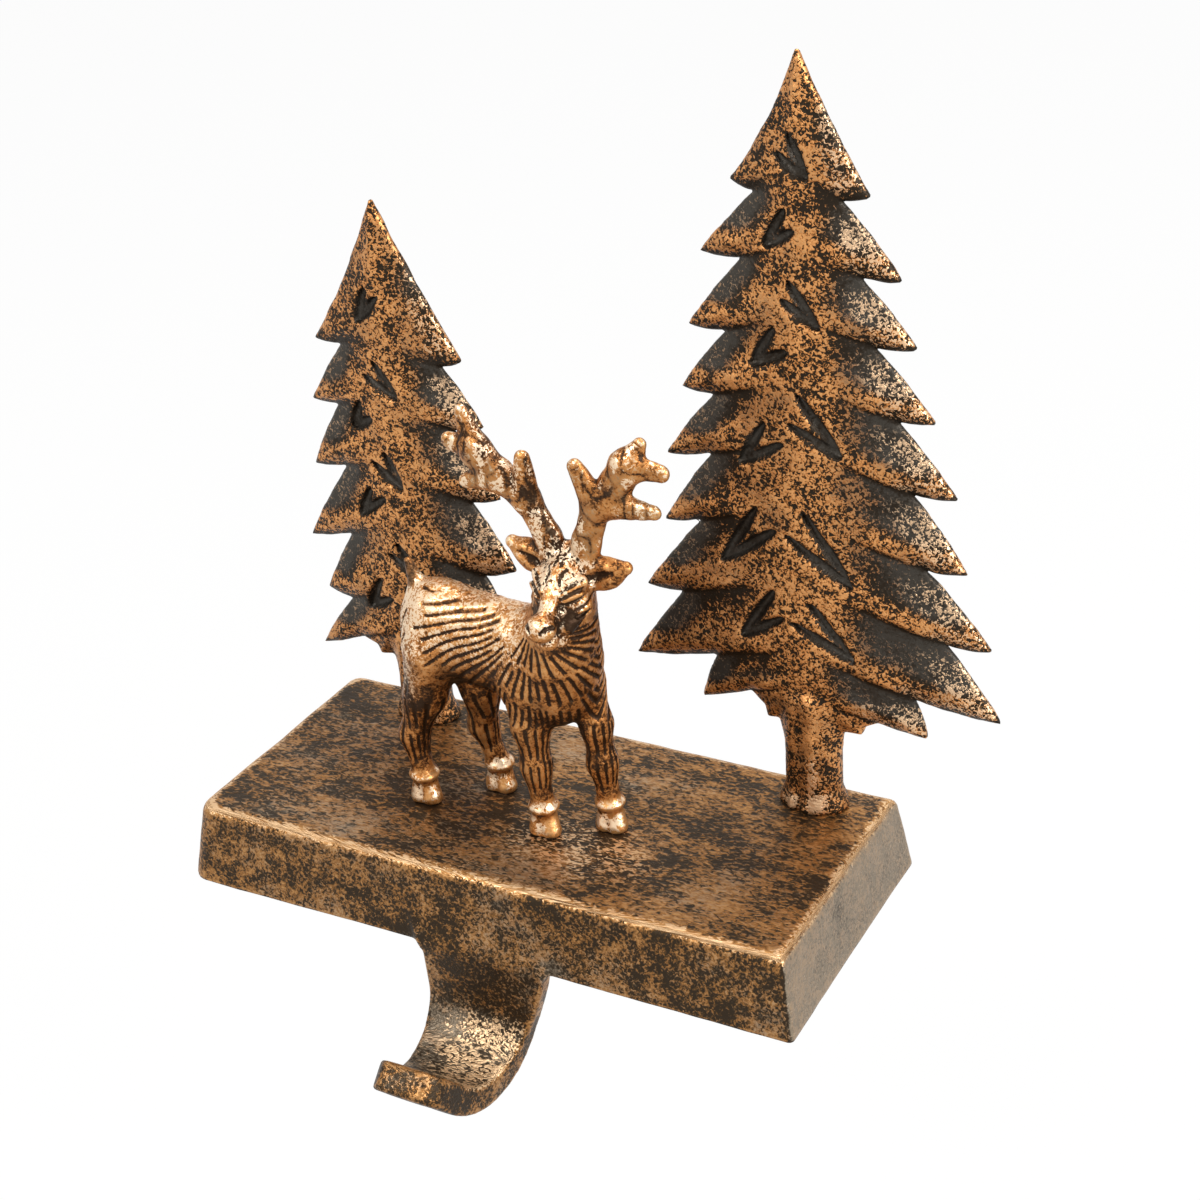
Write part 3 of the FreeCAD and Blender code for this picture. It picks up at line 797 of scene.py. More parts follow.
@dataclass(frozen=True)
class PlainFinish:
    """A plain finish with fine grain, for what is under the plinth.

    Attributes:
        name: The material's name.
        dark: Colour in the grain's hollows.
        light: Colour on its tops.
        grain_mm: Size of the grain.
        height_mm: Height of the grain.
        roughness: How matt it is.
        metallic: One for bare metal.
    """

    name: str
    dark: str
    light: str
    grain_mm: float
    height_mm: float
    roughness: float
    metallic: float

    def build(self) -> bpy.types.Material:
        """Make the material.

        Returns:
            The material.
        """
        material = bpy.data.materials.new(self.name)
        tree = empty_tree(material)
        place = add_node(tree, "TexCoord").outputs["Object"]
        inputs = {"Vector": place, "Scale": 1 / (self.grain_mm * MM), "Detail": 2.0}
        grain = add_node(tree, "TexNoise", inputs).outputs["Fac"]
        inputs = {"Factor": grain, 6: linear(self.dark), 7: linear(self.light)}
        colour = add_node(tree, "Mix", inputs, data_type="RGBA").outputs[2]
        inputs = {
            "Base Color": colour,
            "Metallic": self.metallic,
            "Roughness": self.roughness,
            "Normal": add_node(tree, "Bump", {"Height": grain, "Distance": self.height_mm * MM}),
        }
        add_node(tree, "OutputMaterial", (add_node(tree, "BsdfPrincipled", inputs),))
        return material


# Fir trees

# A place on a tree: across from the trunk line and above the plinth's top
Spot = tuple[float, float]


@dataclass(frozen=True)
class Tier:
    """One branch's tip and the notch under it.

    Attributes:
        tip: The branch's point.
        notch: Where the next branch starts.
    """

    tip: Spot
    notch: Spot


@dataclass(frozen=True)
class Gouge:
    """A pair of leaf-shaped cuts that meet at their lower end.

    Attributes:
        upper: Top of the steeper leaf.
        lower: Top of the flatter leaf.
        meet: Where they meet.
    """

    upper: Spot
    lower: Spot
    meet: Spot


@dataclass
class FirTree:
    """Flat, two-sided fir tree with shingled branches and a central swell.

    Attributes:
        name: The piece's name.
        node: The CAD node that it stands for.
        apex: Height of its point.
        tiers: Its branches from the top, for each side.
        nub: The collar's corner on each side.
        gouges: The leaf-shaped cuts.
        crown_hollow: How far the crown's edges are drawn in, for each side.
        seed: Which unevenness it has.
        step: Size of the grid.
        half_thickness: Half its thickness along the middle, before the branches' steps.
        rim_thickness: Half its thickness at the outline.
        step_height: How far a branch's lower edge stands out over the next branch.
        gouge_width: Half the width of a leaf-shaped cut.
        gouge_depth: How deep the cuts go.
        gouge_floor: Least half thickness that they leave, so that two never meet.
        rim_width: How far in from the outline it takes to reach the full thickness, roughly.
        core_width: Half the width of the swell along its middle, at the lowest branches.
        core_swell: How much thicker the middle is for it.
        bow: How far the branches' edges are bowed, and half the width of the point.
        trunk_half_width: Half the trunk across.
        trunk_half_depth: Half the trunk through.
        foot_height: Where the trunk starts to flare into its foot.
        foot_flare: How far the foot flares.
    """

    name: str
    node: str
    apex: float
    tiers: dict[Side, list[Tier]]
    nub: dict[Side, list[Spot]]
    gouges: list[Gouge]
    crown_hollow: dict[Side, float]
    seed: int
    step: float = 0.42
    half_thickness: float = 3.0
    rim_thickness: float = 0.62
    step_height: float = 1.25
    gouge_width: float = 1.25
    gouge_depth: float = 1.35
    gouge_floor: float = 0.9
    rim_width: float = 4.6
    core_width: float = 11.0
    core_swell: float = 0.55
    bow: float = 0.35
    trunk_half_width: float = 5.7
    trunk_half_depth: float = 4.3
    foot_height: float = 5.0
    foot_flare: float = 1.25

    def build(self, material: bpy.types.Material) -> None:
        """Make the tree.

        Args:
            material: Its finish.
        """
        low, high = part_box(self.node)
        foot = vector((low.x + high.x) / 2, (low.y + high.y) / 2, low.z) / MM
        reach = max(abs(t.tip[0]) for side in self.tiers.values() for t in side)
        deep = self.trunk_half_depth + self.foot_flare
        margin = 3 * self.step
        clay = Clay(
            vector(-reach - margin, -deep - margin, -margin),
            vector(reach + margin, deep + margin, self.apex + margin),
            self.step,
        )
        x, z = np.meshgrid(clay.axes[0], clay.axes[2], indexing="ij")
        y = clay.axes[1][None, :, None]
        maps = self._maps(x, z)
        plate = soft_max(np.abs(y) - maps["half"][:, None, :], maps["edge"][:, None, :], 0.9)
        clay.grid = soft_min(plate, self._trunk(x, z, y), 1.2).astype(np.float32)
        clay.level()
        skin = clay.skin()
        self._paint(skin, clay, maps)
        skin.points = skin.points + foot
        skin.to_object(self.name, material, self.node)

    def _side_outline(self, side: Side) -> list[Spot]:
        """Outline of one side from the point down to the foot of the collar.

        Args:
            side: Which side.

        Returns:
            Places on the outline.
        """
        s = side.value
        hollow = self.crown_hollow[side]
        spots: list[Spot] = []
        start: Spot = (self.bow * s, self.apex)
        for tier in self.tiers[side]:
            spots += self._bent(start, tier.tip, -hollow * s)
            spots += self._bent(tier.tip, tier.notch, self.bow * s)
            start = tier.notch
            hollow = -self.bow
        return spots + self.nub[side]

    @staticmethod
    def _bent(start: Spot, end: Spot, bulge: float, count: int = 6) -> list[Spot]:
        """Points along a shallow curve, without its end.

        Args:
            start: First end.
            end: Other end.
            bulge: How far the middle stands to the right of the straight line, seen going down.
            count: How many points.

        Returns:
            The points.
        """
        dx, dz = end[0] - start[0], end[1] - start[1]
        length = math.hypot(dx, dz)
        spots = []
        for i in range(count):
            t = i / count
            off = 4 * bulge * t * (1 - t)
            x = start[0] + dx * t - dz / length * off
            spots.append((x, start[1] + dz * t + dx / length * off))
        return spots

    @staticmethod
    def _outline_distance(outline: Array, x: Array, z: Array) -> Array:
        """Distance to a closed outline, less than nought inside.

        Args:
            outline: Its points, one row each.
            x: Places across.
            z: Places up.

        Returns:
            The distances.
        """
        nearest = np.full(x.shape, FAR)
        inside = np.zeros(x.shape, bool)
        for a, b in zip(outline, np.roll(outline, -1, 0)):
            along = b - a
            t = ((x - a[0]) * along[0] + (z - a[1]) * along[1]) / max(along @ along, TINY)
            t = np.clip(t, 0, 1)
            apart = np.hypot(x - a[0] - t * along[0], z - a[1] - t * along[1])
            nearest = np.minimum(nearest, apart)
            if a[1] != b[1]:
                crosses = (a[1] > z) != (b[1] > z)
                inside ^= crosses & (x < (b[0] - a[0]) * (z - a[1]) / (b[1] - a[1]) + a[0])
        return np.where(inside, -nearest, nearest)

    def _shingles(self, x: Array, z: Array, side: Side) -> tuple[Array, Array]:
        """How far up each branch a place is, and how much of a branch it is.

        Args:
            x: Places across.
            z: Places up.
            side: Which side's branches.

        Returns:
            Share of the way from the branch's lower edge to the one above, and share from nought by
            the trunk to one out on the branch.
        """
        across = x * side.value
        share = np.full(x.shape, 0.5)
        out = np.zeros(x.shape)
        above = np.full(x.shape, self.apex + 4.0)
        for tier in self.tiers[side]:
            tip = (abs(tier.tip[0]), tier.tip[1])
            notch = (abs(tier.notch[0]), tier.notch[1])
            rise = 0.20 * notch[0] + 0.05 * tip[0]
            root = (0.22 * notch[0], notch[1] + rise)
            line = ((0.0, root[1] + 1.0), root, notch, tip)
            edge = np.interp(across, [spot[0] for spot in line], [spot[1] for spot in line])
            here = (z > edge) & (z <= above)
            share = np.where(here, (z - edge) / np.maximum(above - edge, 0.5), share)
            out = np.where(here, smoothstep(root[0], notch[0] * 0.85 + 1.0, across), out)
            above = np.where(z > edge, np.minimum(above, edge), edge)
        return share, out

    def _maps(self, x: Array, z: Array) -> dict[str, Array]:
        """Everything about the tree's face that depends on the place across and up.

        Args:
            x: Places across.
            z: Places up.

        Returns:
            Half thickness, outline distance, and the paint at each place.
        """
        outline = self._side_outline(Side.RIGHT) + self._side_outline(Side.LEFT)[::-1]
        edge = self._outline_distance(np.array(outline), x, z)
        inward = np.maximum(-edge, 0.0)
        swell = 1 - np.exp(-inward / self.rim_width)
        narrowing = np.interp(z, [20.0, self.apex], [1.0, 0.30])
        core = soft_spot((x, 0.0, self.core_width * narrowing))
        half = self.rim_thickness + (self.half_thickness - self.rim_thickness) * swell
        half += self.core_swell * core * smoothstep(0.5, 5.0, inward)
        rub = 0.37 + 0.11 * core - 0.10 * smoothstep(0.70 * self.apex, 0.90 * self.apex, z)
        black_and_shade, glint, grey_sheen_and_shade, cut = (np.zeros(x.shape) for _ in range(4))
        for side in Side:
            share, out = self._shingles(x, z, side)
            out = out * (x * side.value > 0)
            rise = smoothstep(0.0, 0.12, share)
            crest = rise * (1 - smoothstep(0.20, 0.62, share))
            half += self.step_height * (crest - 0.45) * out * swell
            tuck = smoothstep(0.62, 1.0, share)
            if side is Side.RIGHT:
                # Painted shade in the recess under the branch above, greyed, with painted pinkish
                # highlights out towards the tip
                shade = smoothstep(0.26, 0.50, share)
                tip = smoothstep(7.0, 2.0, inward)
                rub += out * (0.07 * crest - 0.32 * shade - 0.09 * tip * crest)
                grey_sheen_and_shade += 0.55 * out * shade
                glint += out * (shade * (1 - tuck) * (0.08 + 0.32 * tip) + 0.30 * crest * tip)
            else:
                rub += out * (0.10 * crest - 0.08)
                # Painted shade: the upper, outer edge of each left-hand branch is darker and grey,
                # with a few painted highlights
                bevel = smoothstep(6.5, 1.5, inward) * smoothstep(0.28, 0.55, share)
                rub -= 0.32 * bevel * out
                grey_sheen_and_shade += 0.85 * bevel * out
                glint += 0.12 * bevel * out
            # Painted shadow along each branch's stepped lower edge and under the overhang of the
            # branch above
            black_and_shade += out * (0.60 * (1 - rise) + 0.60 * tuck)
        for gouge in self.gouges:
            for top in (gouge.upper, gouge.lower):
                lens = self._leaf(x, z, top, gouge.meet)
                cut = np.maximum(cut, 1 - smoothstep(0.25, 1.05, lens))
                # Black patina in the cuts, and painted grey shade in them
                black_and_shade = np.maximum(black_and_shade, 0.66 * (1 - smoothstep(0.70, 1.05, lens)))
                grey_sheen_and_shade = np.maximum(grey_sheen_and_shade, 0.45 * (1 - smoothstep(0.50, 0.90, lens)))
        half = np.maximum(half - self.gouge_depth * cut, np.minimum(half, self.gouge_floor))
        paint = {"rub": rub, "black_and_shade": black_and_shade, "glint": glint, "grey_sheen_and_shade": grey_sheen_and_shade}
        return {"half": half, "edge": edge, **paint}

    def _leaf(self, x: Array, z: Array, top: Spot, end: Spot) -> Array:
        """How far a place is from the middle of a leaf-shaped cut, as a share of its half width.

        Args:
            x: Places across.
            z: Places up.
            top: The cut's upper end.
            end: Its lower end.

        Returns:
            Less than one inside the cut.
        """
        dx, dz = end[0] - top[0], end[1] - top[1]
        length = math.hypot(dx, dz)
        t = ((x - top[0]) * dx + (z - top[1]) * dz) / length**2
        off = np.abs((x - top[0]) * dz - (z - top[1]) * dx) / length
        inside = np.clip(t, 0, 1)
        width = self.gouge_width * np.sqrt(np.maximum(inside * (1 - inside) * 4, 0.0)) + 0.12
        beyond = np.maximum(np.maximum(-t, t - 1), 0) * length
        return np.hypot(off, beyond) / width

    def _trunk(self, x: Array, z: Array, y: Array) -> Array:
        """Distance to the oval trunk with its lobed foot.

        Args:
            x: Places across, on a grid with z.
            z: Places up.
            y: Places through the tree.

        Returns:
            Distances on the whole grid.
        """
        flare = self.foot_flare * smoothstep(self.foot_height, 0.0, z)
        lobes = 0.35 * np.cos(x * 2.1 + 0.6) * smoothstep(self.foot_height * 1.4, 0.0, z)
        ridge = 0.45 * soft_spot((x, 1.2, 0.9)) - 0.35 * soft_spot((x, -1.6, 1.0))
        wide = self.trunk_half_width + flare
        deep = self.trunk_half_depth + flare * 0.6 + lobes + ridge
        radial = np.sqrt((x / wide)[:, None, :] ** 2 + (y / deep[:, None, :]) ** 2)
        top = self.tiers[Side.RIGHT][-1].notch[1] + 4.0
        wall = (radial - 1) * self.trunk_half_depth
        return soft_max(wall, np.broadcast_to((z - top)[:, None, :], wall.shape), 2.0)

    def _paint(self, skin: Skin, clay: Clay, maps: dict[str, Array]) -> None:
        """Paint the finish on the tree's points and roughen them a little.

        Args:
            skin: The mesh, about the tree's own foot.
            clay: The grid that the maps are laid out on.
            maps: What _maps gives.
        """
        places = (skin.points[:, (0, 2)] - clay.low[[0, 2]]) / clay.step
        places = np.clip(places, 0, vector(len(clay.axes[0]) - 2, len(clay.axes[2]) - 2))
        i, j = np.floor(places).astype(int).T
        u, v = places[:, 0] - i, places[:, 1] - j
        paint = {}
        for key in ("rub", "black_and_shade", "glint", "grey_sheen_and_shade", "edge"):
            source = maps[key]
            low = source[i, j] * (1 - u) + source[i + 1, j] * u
            high = source[i, j + 1] * (1 - u) + source[i + 1, j + 1] * u
            paint[key] = low * (1 - v) + high * v
        rough = 0.13 * lumps(skin.points, 3.2, self.seed)
        skin.push(rough + 0.05 * lumps(skin.points, 1.1, self.seed + 1))
        rub = paint["rub"] + np.clip(skin.relief(10) * 1.5, -0.35, 0.12)
        on_trunk = smoothstep(0.5, 2.0, paint.pop("edge")) * (skin.points[:, 2] < 24)
        x, z = skin.points[:, 0], skin.points[:, 2]
        # Painted highlights on the trunk's middle ridge and on two foot lobes, as more copper and
        # glint
        lobes = soft_spot((x, -3.4, 1.8), (z, 1.6, 1.5))
        lobes = np.maximum(lobes, soft_spot((x, 2.8, 1.7), (z, 2.4, 1.9)))
        ridge = soft_spot((x, 1.2, 1.2))
        rub = rub * (1 - on_trunk) + on_trunk * (0.30 + 0.30 * ridge + 0.40 * lobes)
        paint["glint"] = paint["glint"] + on_trunk * (0.9 * lobes + 0.45 * ridge)
        skin.paint = {key: np.clip(values, 0, 1) for key, values in paint.items()}
        skin.paint.update(rub=rub, drag=np.zeros(len(skin.points)))


def tiers(side: Side, tips: list[Spot], notches: list[Spot]) -> list[Tier]:
    """Pair one side's branch tips with the notches under them.

    Args:
        side: Which side they are on.
        tips: Branch tips from the top, across without a sign.
        notches: The notches under them.

    Returns:
        The side's branches.
    """
    pairs = []
    for tip, notch in zip(tips, notches):
        pairs.append(Tier((side.value * tip[0], tip[1]), (side.value * notch[0], notch[1])))
    return pairs


def tall_tree() -> FirTree:
    """Size the tall fir, behind and to the right of the reindeer.

    Returns:
        The tree, not built yet.
    """
    right = tiers(
        Side.RIGHT,
        [(12.8, 125.0), (18.6, 110.5), (21.2, 98.4), (24.8, 84.9), (28.8, 70.8), (30.8, 56.2),
         (35.6, 41.3), (37.6, 26.4), (23.3, 19.9)],
        [(7.7, 123.8), (11.1, 110.3), (13.5, 97.7), (17.7, 84.3), (20.4, 70.5), (22.9, 55.7),
         (26.9, 41.0), (20.9, 27.8), (11.4, 21.6)],
    )
    left = tiers(
        Side.LEFT,
        [(13.2, 125.6), (19.6, 111.5), (22.5, 97.2), (24.4, 84.8), (28.2, 70.6), (29.3, 56.5),
         (33.9, 41.7), (37.2, 25.5), (23.0, 18.9)],
        [(8.6, 123.8), (11.3, 111.3), (15.0, 97.0), (18.1, 84.0), (19.1, 71.9), (21.8, 57.7),
         (26.1, 41.6), (19.7, 28.9), (10.5, 23.4)],
    )
    return FirTree(
        name="tall_fir",
        node="tall_tree",
        apex=149.2,
        tiers={Side.RIGHT: right, Side.LEFT: left},
        nub={
            Side.RIGHT: [(10.9, 19.6), (10.1, 17.6), (6.6, 17.4), (5.4, 14.0)],
            Side.LEFT: [(-9.9, 20.0), (-9.3, 17.4), (-6.8, 17.6), (-5.4, 14.0)],
        },
        gouges=[
            Gouge((-1.1, 135.6), (-3.5, 131.7), (2.2, 127.7)),
            Gouge((-2.0, 122.1), (0.0, 118.6), (-6.1, 114.8)),
            Gouge((-1.6, 109.3), (-2.9, 105.4), (4.0, 100.8)),
            Gouge((-4.5, 100.0), (-2.0, 95.9), (-9.3, 92.1)),
            Gouge((-0.3, 88.0), (-2.2, 82.1), (7.8, 76.7)),
            Gouge((-7.0, 81.1), (-3.5, 77.7), (-12.3, 72.2)),
            Gouge((0.3, 64.8), (-3.3, 59.3), (9.5, 50.4)),
            Gouge((-8.9, 64.1), (-5.3, 59.9), (-16.7, 51.1)),
            Gouge((1.1, 46.0), (-2.6, 41.2), (9.6, 35.0)),
            Gouge((-5.9, 47.2), (-3.8, 41.8), (-12.9, 36.0)),
        ],
        crown_hollow={Side.RIGHT: 0.45, Side.LEFT: 1.1},
        seed=11,
    )


def short_tree() -> FirTree:
    """Size the short fir, behind and to the left of the reindeer.

    Returns:
        The tree, not built yet.
    """
    right = tiers(
        Side.RIGHT,
        [(16.7, 82.6), (20.2, 69.1), (22.6, 54.2), (24.6, 38.6), (22.0, 25.6), (23.6, 12.4)],
        [(12.0, 80.8), (13.6, 67.6), (15.9, 52.3), (17.4, 36.1), (14.6, 24.6), (11.2, 15.8)],
    )
    left = tiers(
        Side.LEFT,
        [(16.8, 82.8), (19.0, 69.6), (20.6, 54.8), (23.9, 37.9), (21.3, 26.2), (24.6, 11.8)],
        [(10.6, 82.5), (13.0, 69.2), (12.9, 55.6), (13.7, 40.0), (15.5, 24.6), (11.5, 16.5)],
    )
    return FirTree(
        name="short_fir",
        node="short_tree",
        apex=113.3,
        tiers={Side.RIGHT: right, Side.LEFT: left},
        nub={
            Side.RIGHT: [(10.6, 14.0), (9.8, 12.2), (6.8, 12.4), (5.4, 9.0)],
            Side.LEFT: [(-10.6, 14.4), (-10.0, 12.4), (-6.8, 12.8), (-5.4, 9.0)],
        },
        gouges=[
            Gouge((-2.2, 96.2), (0.6, 94.6), (-4.6, 88.8)),
            Gouge((-1.9, 81.0), (-4.6, 77.8), (2.8, 73.6)),
            Gouge((-6.2, 71.8), (-3.5, 68.7), (-9.0, 65.4)),
            Gouge((-1.7, 61.7), (-4.8, 59.0), (1.9, 53.6)),
            Gouge((-6.0, 52.9), (-2.7, 51.3), (-9.2, 46.3)),
            Gouge((-1.2, 41.4), (-3.2, 38.6), (3.6, 33.6)),
            Gouge((-5.9, 32.4), (-3.6, 28.2), (-10.1, 24.5)),
        ],
        crown_hollow={Side.RIGHT: 0.5, Side.LEFT: 1.0},
        seed=23,
    )


# Plinth and hook

# Each screw's radius, and where the reindeer's hooves stand on the plinth
SCREWS = {
    "tall_tree_screw": 2.0,
    "short_tree_screw": 2.0,
    "deer_fore_screw": 1.25,
    "deer_hind_screw": 1.25,
}
HOOF_PLACES = ((4.2, -8.4), (15.4, -2.3), (-23.1, -7.4), (-11.2, 1.6))


@dataclass
class Plinth:
    """Hollow drafted plinth with the J hook cast in one with its front wall.

    Attributes:
        length: Top face along the mantel.
        depth: Top face across it.
        height: From the sheet to the top.
        draft: How far the foot stands out past the top on each side.
        corner_r: Radius of each upright corner: front left, front right, back right, back left.
        wall: Thickness of the sides.
        top_plate: Thickness of the top.
        rim_r: Rounding along the top edge.
        skew: How far the casting's front left corner is drawn out to the left.
        sheet: Thickness of the sheet below.
        strap: The hook's thickness.
        bend_r: Radius of the hook's bend, to the strap's middle.
        bend_deg: How far round the bend goes.
        drop: How far down the strap goes before it bends.
        tip_length: Length of the straight end.
        proud: How far the strap stands out of the plinth's lower edge.
        root: How far up the front wall the strap's root fades out.
        bury: How far the root lies inside the wall there.
        swell: How much thicker each face of the bend and the tip is than the strap's.
        cove: How wide the rounding is where the strap meets the wall.
        edge_round: How wide the rounding of the strap's edges is.
        boss_wall: Thickness of a screw boss round its hole.
        clearance: How far a hole stands off its screw.
        step: Size of the grid.
    """

    length: float = 125.0
    depth: float = 55.3
    height: float = 16.6
    draft: float = 2.45
    corner_r: tuple[float, float, float, float] = (4.0, 1.0, 1.4, 3.0)
    wall: float = 5.5
    top_plate: float = 4.0
    rim_r: float = 1.0
    skew: float = 2.5
    sheet: float = 1.0
    strap: float = 4.2
    bend_r: float = 12.0
    bend_deg: float = 138.0
    drop: float = 9.5
    tip_length: float = 9.0
    proud: float = 1.0
    root: float = 8.0
    bury: float = 0.8
    swell: float = 0.75
    cove: float = 1.6
    edge_round: float = 0.9
    boss_wall: float = 3.2
    clearance: float = 0.3
    step: float = 0.56

    def __post_init__(self) -> None:
        """Work out heights and the strap's place."""
        self.top = self.sheet + self.height
        self.lean = self.draft / self.height
        self.strap_y = -(self.depth / 2 + self.draft + self.proud - self.strap / 2)
        self.bend_z = self.sheet - self.drop

    def build(self, material: bpy.types.Material) -> None:
        """Make the plinth and its hook.

        Args:
            material: Their finish.
        """
        low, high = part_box("base_with_hook")
        margin = 3 * self.step
        corner = np.array(low) / MM - margin - vector(self.skew, 0, 0)
        clay = Clay(corner, np.array(high) / MM + margin, self.step)
        x, y, z = np.ix_(*clay.axes)
        body = self._block(x, y, z, 0.0, self.sheet, self.top, self.rim_r)
        ceiling = self.top - self.top_plate
        hollow = self._block(x, y, z, self.wall, self.sheet - 4.0, ceiling, 0.6)
        body = np.maximum(body, -hollow)
        clay.grid = soft_min(body, self._hook(x, y, z), self.cove).astype(np.float32)
        self._bosses(clay)
        skin = clay.skin()
        self._paint(skin)
        skin.to_object("plinth_with_hook", material, "base_with_hook")

    def _block(
        self, x: Array, y: Array, z: Array, inset: float, z0: float, z1: float, rim: float
    ) -> Array:
        """Distance to a block that follows the plinth's drafted sides.

        Args:
            x: Places along the mantel.
            y: Places across it.
            z: Places up.
            inset: How far inside the plinth's sides it lies.
            z0: Its underside.
            z1: Its top.
            rim: Rounding along its top edge.

        Returns:
            The distances.
        """
        grow = (self.top - z) * self.draft / self.height - inset
        front_left, front_right, back_right, back_left = self.corner_r
        front = np.where(x < 0, front_left, front_right)
        radius = np.where(y < 0, front, np.where(x < 0, back_left, back_right))
        radius = np.maximum(radius - inset, 0.6)
        skew = 0.0 if inset else self.skew
        skew = skew * np.clip((25.0 - y) / 52.0, 0, 1) * smoothstep(-10.0, -50.0, x)
        qx = np.abs(x) - (self.length / 2 + grow + skew - radius)
        qy = np.abs(y) - (self.depth / 2 + grow - radius)
        outside = np.hypot(np.maximum(qx, 0), np.maximum(qy, 0))
        side = outside + np.minimum(np.maximum(qx, qy), 0) - radius
        side = side * math.cos(math.atan(self.lean))
        body = soft_max(side, z - z1, 2.2 * rim)
        return soft_max(body, z0 - z, 0.5)

    def _hook(self, x: Array, y: Array, z: Array) -> Array:
        """Distance to the J strap.

        Args:
            x: Places along the mantel.
            y: Places across it.
            z: Places up.

        Returns:
            The distances.
        """
        # The strap runs in the plane across the mantel, so its middle line is found there
        flat_y, flat_z = np.broadcast_arrays(y, z)
        centre_y = self.strap_y - self.bend_r
        root_top = self.sheet + self.root
        wall_y = self.strap_y + np.maximum(flat_z - self.sheet, 0.0) * self.lean
        buried = smoothstep(self.sheet + 0.5, root_top, flat_z)
        wall_y = wall_y + (self.proud + self.bury) * buried
        down = np.clip(flat_z, self.bend_z, root_top)
        straight = np.hypot(flat_y - wall_y, flat_z - down)
        straight_s = root_top - down
        along_bend = np.degrees(np.arctan2(self.bend_z - flat_z, flat_y - centre_y)) % 360
        along_bend = np.where(along_bend > 270, 0.0, along_bend)
        angle = np.radians(np.clip(along_bend, 0, self.bend_deg))
        bend = np.hypot(
            flat_y - centre_y - self.bend_r * np.cos(angle),
            flat_z - self.bend_z + self.bend_r * np.sin(angle),
        )
        bend_s = root_top - self.bend_z + self.bend_r * angle
        end = math.radians(self.bend_deg)
        end_y = centre_y + self.bend_r * math.cos(end)
        end_z = self.bend_z - self.bend_r * math.sin(end)
        way = (-math.sin(end), -math.cos(end))
        beyond = (flat_y - end_y) * way[0] + (flat_z - end_z) * way[1]
        t = np.clip(beyond, 0, self.tip_length + self.strap)
        tip = np.hypot(flat_y - end_y - way[0] * t, flat_z - end_z - way[1] * t)
        tip_s = root_top - self.bend_z + self.bend_r * end + t
        s = np.where(straight < bend, straight_s, bend_s)
        near = np.minimum(straight, bend)
        s = np.where(tip < near, tip_s, s)
        near = np.minimum(near, tip)
        whole = root_top - self.bend_z + self.bend_r * end + self.tip_length
        # The strap's left and right edges, by how far along it they are from its root
        left = [(0, 15.5), (7, 13.8), (9.5, 12.4), (17, 12.0), (26, 11.6), (36, 11.0), (whole, 9.2)]
        right = [(0, 15.5), (8, 14.3), (12, 13.6), (16, 12.4), (22, 10.4), (32, 8.4), (40, 6.9)]
        left = -np.interp(s, *zip(*left))
        right = np.interp(s, *zip(*right, (whole, 4.4)))
        middle = (left + right) / 2
        half = (right - left) / 2
        corner = smoothstep(whole - 4.0, whole + 1.8, s)
        half = half - 2.2 * corner * corner
        swell = self.swell * smoothstep(18.0, 34.0, s)
        face = near - self.strap / 2 - swell
        thick = soft_max(face, beyond - self.tip_length - 1.0, self.edge_round)
        return soft_max(thick, np.abs(x - middle) - half, self.edge_round)

    def _bosses(self, clay: Clay) -> None:
        """Add the screw bosses under the top and open their holes.

        Args:
            clay: The plinth's grid.
        """
        for node, radius in SCREWS.items():
            low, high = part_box(node)
            x, y = (low.x + high.x) / 2 / MM, (low.y + high.y) / 2 / MM
            seat = self.top - self.top_plate - 2.0
            clay.add(Drum(x, y, seat, self.top - 1.5, radius + self.boss_wall), 0.5)
            # The head's pocket, then the hole that the shank passes through
            clay.cut(Drum(x, y, self.sheet - 2.0, seat, radius * 1.75 + 0.5), 0.3)
            clay.cut(Drum(x, y, seat - 2.0, self.top - 1.3, radius + self.clearance), 0.3)

    def _paint(self, skin: Skin) -> None:
        """Roughen the cast faces, dent them where the real ones are dented, and paint the finish.

        Args:
            skin: The mesh.
        """
        normal = skin.normals()
        p = skin.points
        px, py, pz = p.T
        outside = pz > self.sheet + 0.5
        dent = 0.30 * soft_spot((px, -29.0, 2.4), (py, -14.0, 1.6))
        facing_up = smoothstep(0.7, 0.95, normal[:, 2])
        front = smoothstep(0.6, 0.9, -normal[:, 1])
        right = smoothstep(0.6, 0.9, normal[:, 0])
        left = smoothstep(0.6, 0.9, -normal[:, 0])
        uneven = 0.14 * lumps(p, 14.0, 3) + 0.06 * lumps(p, 3.5, 4)
        skin.push(uneven - dent * facing_up)
        relief = skin.relief(6)
        on_hook = smoothstep(self.sheet + 0.5, self.sheet - 1.5, pz)
        share_x = px / (self.length / 2)
        patch = lumps(p, 16.0, 9)
        middle = 1 - np.abs(share_x)
        rub = 0.40 - front * (0.05 * share_x + 0.05 * middle) + 0.11 * facing_up * share_x
        rub += facing_up * (0.02 + 0.10 * patch + 0.08 * lumps(p, 6.0, 12))
        rub += right * 0.02 + left * 0.05
        edge = smoothstep(0.05, 0.22, relief) * outside
        rim = soft_spot((pz, self.top, 1.0)) * smoothstep(0.04, 0.16, relief)
        rub += 0.40 * edge + 0.30 * rim + 0.25 * smoothstep(0.06, 0.25, relief) * on_hook
        rub -= on_hook * (0.08 + 0.06 * smoothstep(self.strap_y - 17, self.strap_y - 21, py))
        # Painted sheen: pale grey in patches on the top, over the right face as a painted
        # reflection, and inside the hook's bend
        inner = smoothstep(0.1, 0.6, normal[:, 2]) * (pz < self.bend_z + 2.0)
        inner = inner * (py > self.strap_y - 19)
        grey_sheen_and_shade = 0.12 * facing_up * smoothstep(0.0, 0.8, patch) + 0.75 * right * outside
        grey_sheen_and_shade = grey_sheen_and_shade + 0.32 * inner
        ceiling = self.top - self.top_plate
